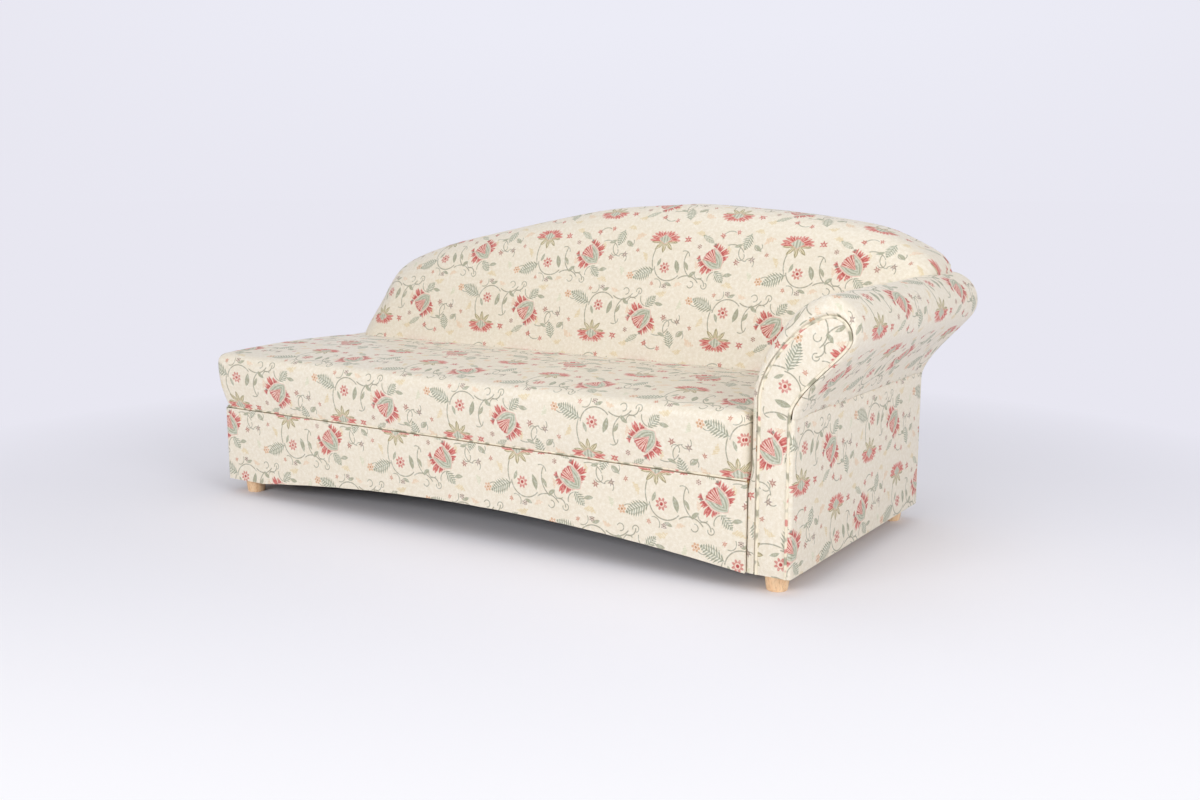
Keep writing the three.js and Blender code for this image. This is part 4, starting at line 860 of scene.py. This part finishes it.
def arm_front():
    """The facing in the scroll's front and the piping round it."""
    inward = sideways(BOARD)
    face = grounded(BOARD + inward * FACING_INSET)
    panel_of(face, "arm_front_panel", FRONT + 0.5, 9.3, 3.0, ["arm_facing"],
             lambda x, z: (642 - z, x - 753))
    x, z = evenly(grounded(BOARD + inward * CORD_INSET), 190).T
    cord(joined(x, FRONT + 1.0, z), 3.9, "arm_piping", 14, ["arm_facing_piping"])


def arm_rear():
    """Flat cloth panel over the rear of the arm, just inside the skin's outline."""
    line = grounded(SKIN + sideways(SKIN) * 1.2)
    panel_of(line, "arm_rear_panel", OUTSIDE + 7.0, -6.8, -1.0, ["arm_rear_cover"],
             lambda x, z: (-x, z))


def arm_outside():
    """Flat cloth panel on the arm's outside, soft at its front edge and tucked in at the top."""
    corner = np.linspace(0, np.pi / 2, 9)
    r = 8.0
    plan = np.concatenate([
        [(OUTER - 9.6, FRONT + 0.2)],
        (OUTER - r, FRONT + r) + r * joined(np.sin(corner), -np.cos(corner)),
        joined(OUTER, np.linspace(FRONT + r, OUTSIDE - GAP, 71)[1:]),
    ])
    out = sideways(plan)
    z = np.linspace(FOOT + 0.2, CREASE - GAP, 48)[None, :]
    up = (z - z[0, 0]) / (z[0, -1] - z[0, 0])
    down = z[0, -1] - z
    run = run_of(plan)[:, None]
    body = smooth((run - 10) / 60)
    proud = 2.4 * np.sin(np.pi * up) ** 0.7 * body * smooth((run[-1] - run) / 60)
    gathers = ripples(plan[:, None, 1], z * 0.3, 70, 14)
    proud = proud + 1.5 * body * np.exp(-down / 40) * gathers - 2.2 * quarter(down / 5)
    face = plan[:, None] + out[:, None] * proud[..., None]
    face, back = joined(face[..., 0], face[..., 1], z), joined(OUTER - 9.7, plan[:, 1:], z)
    u, v = run + 490 + FRONT, z - 225
    patches = slab_of(face, back, (u, v + 2 * ROW), (u, v), (u, v))
    make("arm_outside_panel", patches, ["arm_outside_cover"])


# Back


def crest_line():
    """Smooth line through the crest's points, each stretch a uniform four-point spline."""
    p = np.concatenate([CREST[:1], CREST, CREST[-1:]])
    t = np.linspace(0, 1, 16)[:-1, None]
    parts = []
    for i in range(len(CREST) - 1):
        p0, p1, p2, p3 = p[i:i + 4]
        v0, v1 = (p2 - p0) / 2, (p3 - p1) / 2
        cubic, square = 2 * p1 - 2 * p2 + v0 + v1, 3 * p2 - 3 * p1 - 2 * v0 - v1
        parts.append(cubic * t ** 3 + square * t ** 2 + v0 * t + p1)
    return np.concatenate([*parts, CREST[-1:]])


def distance_to(line, x, z):
    """Least distance from each point to a line of points."""
    a, b = line[:-1], line[1:]
    run = b - a
    q = joined(x, z)[..., None, :]
    share = np.clip(((q - a) * run).sum(-1) / (run ** 2).sum(-1), 0, 1)
    return np.linalg.norm(q - a - share[..., None] * run, axis=-1).min(-1)


def back_rest():
    """The padded back. Its face leans back, bulges in its middle and rounds over at the crest and
    at the open end by a quarter ellipse of the distance to its edge; beside the arm it stands on
    the roll, and below the seat it runs down behind the slab."""
    crest = crest_line()
    columns = evenly(crest, 250)
    place = int(np.searchsorted(columns[:, 0], ARM))
    x = np.insert(columns[:, 0], place, [ARM - GAP, ARM + GAP])
    top = np.interp(x, crest[:, 0], crest[:, 1])
    column = np.arange(len(x))
    beside = column > place
    roll = np.interp(x, *SKIN[:TIP_AT + 1].T)
    low = np.where(beside, np.minimum(np.maximum(roll, SEAT) + GAP, top - 0.5), SEAT + 0.2)
    low = np.where(beside & (x < ARM + 1), 480.0, low)
    top = np.maximum(top, low + 4)
    base = np.where(beside, low, SEAM + GAP)

    t = np.linspace(0, 1, 52)
    z = low[:, None] + (top - low)[:, None] * np.sin(t * np.pi / 2)[None, :]
    xs = np.broadcast_to(x[:, None], z.shape)
    edge = np.concatenate([[(LEFT, SEAM - 150)], crest, [(TIP, SEAM - 150)]])
    d = distance_to(edge, xs, z)
    d[:, -1] = 0
    end = 95 + 55 * smooth((z - SEAT) / 150)
    reach = end + (85 - end) * smooth((xs - LEFT) / 420)
    drawn = reach * quarter(d / reach)
    crown = 16 * smooth(d / 230) * smooth((z - SEAT) / 230)
    uneven = 1.2 * ripples(xs, z, 260, 17) * smooth(d / 120) * smooth((z - SEAT) / 60)
    y = BACK + LEAN * (z - SEAT) + drawn - crown - uneven
    y = np.minimum(y, OUTSIDE - 22)
    y[:, 0] = np.minimum(y[:, 0], SLAB_END - 1)

    turn_depth, inset = 18, 8
    ends = np.array([LEFT, LEFT + 60, TIP - 60, TIP])
    inset_x = np.interp(x, ends, ends + (inset, 0, 0, -inset))[:, None]
    wide_x, high, lowest = x[:, None], top[:, None], base[:, None]
    share = np.linspace(0, 1, 8)[None, 1:]
    over = joined(wide_x, y[:, -1:] + (OUTSIDE - turn_depth - y[:, -1:]) * share, high)
    angle = np.linspace(0, np.pi / 2, 6)[None, 1:]
    rear_turn = joined(wide_x + (inset_x - wide_x) * np.sin(angle),
                       OUTSIDE - turn_depth + (turn_depth - GAP) * np.sin(angle),
                       np.maximum(high - inset * (1 - np.cos(angle)), lowest))
    rear_low = np.maximum(high - inset, lowest)
    down = joined(inset_x, OUTSIDE - GAP,
                  rear_low + (lowest - rear_low) * np.linspace(0, 1, 13)[None, 1:])
    foot_y = np.where(beside, y[:, 0], np.maximum(SLAB_END + GAP, y[:, 0]))
    under = joined(wide_x, joined(foot_y, foot_y, y[:, 0]), joined(base, low, low))
    section = np.concatenate([joined(xs, y, z), over, rear_turn, down, under], 1)
    run = run_of(np.moveaxis(section, 1, 0)).T + (low - SEAT)[:, None] * 1.04
    bend = y[column, np.abs(z - 560).argmin(1)]
    wide = np.cumsum(np.hypot(np.diff(x), np.clip(np.diff(bend), -40, 40)))
    wide = np.concatenate([[0], wide])
    wide = wide - np.interp(0, x, wide)
    patches = [(section, (wide[:, None] + 159, run - 25))]
    for side in (0, -1):
        ring = section[side]
        middle_point = np.broadcast_to((ring.max(0) + ring.min(0)) / 2, ring.shape)
        cap = np.stack([ring, middle_point], 0)
        patches.append((cap, (cap[..., 1] + 240, cap[..., 2] - 160)))
    make("back_rest", patches, ["back_pad"])


def back_outside():
    """Flat cloth panel stretched over the rear of the back, with softly rounded edges."""
    crest = crest_line()
    inside = crest[(crest[:, 0] > LEFT + 14) & (crest[:, 0] < TIP - 14)]
    top = evenly(inside, 160)
    x, high = top[:, 0], top[:, 1] - 10
    roll = np.interp(x, *SKIN[:CROWN_AT + 1].T)
    low = np.where(x > ARM - 0.5, np.minimum(roll + 1.2, high - 1), SEAM + GAP)[:, None]
    x, high = x[:, None], high[:, None]
    z = low + (high - low) * np.linspace(0, 1, 30)[None, :]
    to_edge = np.minimum(np.minimum(high - z, z - low), x - x[0] + 0.01)
    round_off = (5 - 3.4 * smooth((low + 40 - z) / 30)) * quarter(to_edge / 6)
    face, back = joined(x, REAR - GAP - round_off, z), joined(x, OUTSIDE + GAP, z)
    patches = slab_of(face, back, (-x, z), ends=(0.0, z))
    make("back_outside_panel", patches, ["back_outside_cover"])


# Feet


def turned_foot(name, x, y, node):
    """A short turned foot: a profile of radius and height carried once round its axis."""
    bottom, top, high = 26.0, 31.5, FOOT - 0.2
    belly = np.linspace(0, 1, 9)
    worn, bend = 2.2, belly * np.pi / 2
    profile = np.concatenate([
        [(0, 0), (bottom - worn, 0)],
        joined(bottom - worn * (1 - np.sin(bend)), worn * (1 - np.cos(bend)))[1:],
        joined(bottom + (top - bottom) * belly ** 0.7, worn + (high - worn - 2) * belly)[1:],
        [(top - 0.6, high - 0.6), (top - 2, high), (0, high)],
    ])
    angle = np.linspace(0, 2 * np.pi, 65)
    angle[-1] = 0
    r, z = profile[:, :1], profile[:, 1:]
    points = joined(x + r * np.cos(angle), y + r * np.sin(angle), z)
    make(name, [(points, (angle[None, :] * 28, z))], [node], "beech")


seat_slab()
box_cover()
welts()
back_rest()
back_outside()
arm_roll()
arm_front()
arm_outside()
arm_rear()
for side_name, foot_x in (("left", LEFT + 58), ("right", OUTER - 58)):
    for end_name, foot_y in (("front", FRONT + 53), ("rear", REAR - 53)):
        node = f"foot_{end_name}_{side_name}"
        turned_foot("turned_" + node, foot_x, foot_y, node)

# Floor, light and camera

ROOM = tone("E8E7F1")


def studio():
    """A pale round floor with painted light, whose colour passes into that of the room with
    distance.
    """
    reach = np.concatenate([np.linspace(0, 6, 31), np.geomspace(6.5, 40, 20)])
    turn_at = np.linspace(0, 2 * np.pi, 97)[:-1]
    r, a = np.meshgrid(reach, turn_at, indexing="ij")
    i = np.arange(r.size).reshape(r.shape)
    follow = np.roll(i, -1, axis=1)
    quads = np.stack([i[:-1], i[1:], follow[1:], follow[:-1]], -1).reshape(-1, 4)
    mesh = bpy.data.meshes.new("studio")
    flat = joined(r * np.cos(a), r * np.sin(a), 0.0).reshape(-1, 3)
    mesh.from_pydata(flat.tolist(), [], quads.tolist())
    paper = Finish("studio paper", Specular_IOR_Level=0.1, Roughness=0.9)
    where = paper.add("ShaderNodeTexCoord", output=3)
    across, back, _ = paper.parts(where)
    # Painted light: the paper is lighter towards the right front, a pool of light painted on the
    # floor.
    painted_light_pool = (across * 0.8 - back * 0.3 - 0.9).over(4.0)
    # Painted light: the paper is lighter towards the back, making up for the lamp light that falls
    # off there.
    behind = (back - across * 0.4 + 0.5).over(2.2)
    near = paper.blend(painted_light_pool, tone("DFDEE5"), tone("FCFBFE"))
    near = paper.blend(behind, near, tone("F4F3F9"))
    drift = paper.noise(where, 0.5, 1.0)
    near = paper.blend(drift * 0.2, near, tone("E6E5EC"))
    paper.show(Base_Color=near)
    # Seen by the camera, the floor fades from about a metre out into a glow that is no lamp. The
    # glow carries painted light, lighter towards the front and the right front, and ends in the
    # room's own colour far off.
    far = paper.length(where)
    share = (far - 1.85).over(1.6) * paper.seen_directly()
    painted_light_front = (-1.1 - back + across * 0.4).over(2.2)
    ahead = paper.blend(painted_light_pool, tone("F6F5FA"), tone("FEFEFF"))
    ahead = paper.blend(painted_light_front, ROOM, ahead)
    ahead = paper.blend((far - 8.0).over(5.0), ahead, ROOM)
    glow = paper.add("ShaderNodeEmission", None, {"Color": ahead})
    shaders = {0: share, 1: paper.shader.outputs[0], 2: glow}
    mixed = paper.add("ShaderNodeMixShader", None, shaders)
    paper.feed(paper.tree.nodes["Material Output"].inputs[0], mixed)
    mesh.materials.append(paper.material)
    floor = put("studio", mesh)


def aim(holder, place, direction):
    """Stands a lamp or camera in a place and points it in a direction."""
    holder.location = place
    holder.rotation_mode = "QUATERNION"
    holder.rotation_quaternion = Vector(direction).to_track_quat("-Z", "Y")


def lamp(name, place, target, size, power):
    """A rectangular lamp that shines from its place on a target."""
    light = bpy.data.lights.new(name, "AREA")
    light.shape, light.size, light.size_y, light.energy = "RECTANGLE", *size, power
    aim(put(name, light), place, Vector(target) - Vector(place))


studio()
lamp("front lamp", (-0.4, -4.8, 1.8), (0, 0, 0.3), (3.0, 1.1), 106)
lamp("side lamp", (4.6, -1.8, 2.4), (0.4, 0, 0.4), (2.6, 2.2), 98)
lamp("top lamp", (0.2, 0.2, 4.2), (0, 0, 0), (4.0, 3.0), 38)
world = bpy.data.worlds.new("room")
bpy.context.scene.world = world
world.use_nodes = True
lit = world.node_tree.nodes["Background"]
lit.inputs[0].default_value = (0.96, 0.97, 1.0, 1)
lit.inputs[1].default_value = 0.46
room = Nodes(world.node_tree)
outward = room.add("ShaderNodeTexCoord")
# Painted light: the backdrop the camera sees is lighter in the middle, just above the horizon
# behind the sofa.
ahead = Value(room, room.vector("DOT_PRODUCT", outward, (-0.5, 0.85, 0.16), output=1))
above = room.parts(outward)[2]
middle = (ahead - 0.93).over(0.12) * (above - 0.02).over(0.16)
backdrop_painted_light = room.blend(middle, ROOM, tone("ECECF6"))
seen = room.add("ShaderNodeBackground", None, {0: backdrop_painted_light})
shaders = {0: room.seen_directly(), 1: lit.outputs[0], 2: seen}
mixed = room.add("ShaderNodeMixShader", None, shaders)
room.feed(room.tree.nodes["World Output"].inputs[0], mixed)

# The camera, as worked out from the photograph's straight edges
eye = bpy.data.cameras.new("camera")
eye.lens, eye.sensor_width, eye.sensor_fit = 39.0, 36.0, "HORIZONTAL"
eye.clip_start, eye.clip_end = 0.05, 100
camera = put("camera", eye)
aim(camera, (2.16047, -3.18451, 1.01785), (-0.53643535, 0.82551885, -0.17537314))
bpy.context.scene.camera = camera
bpy.context.scene.view_settings.view_transform = "Standard"
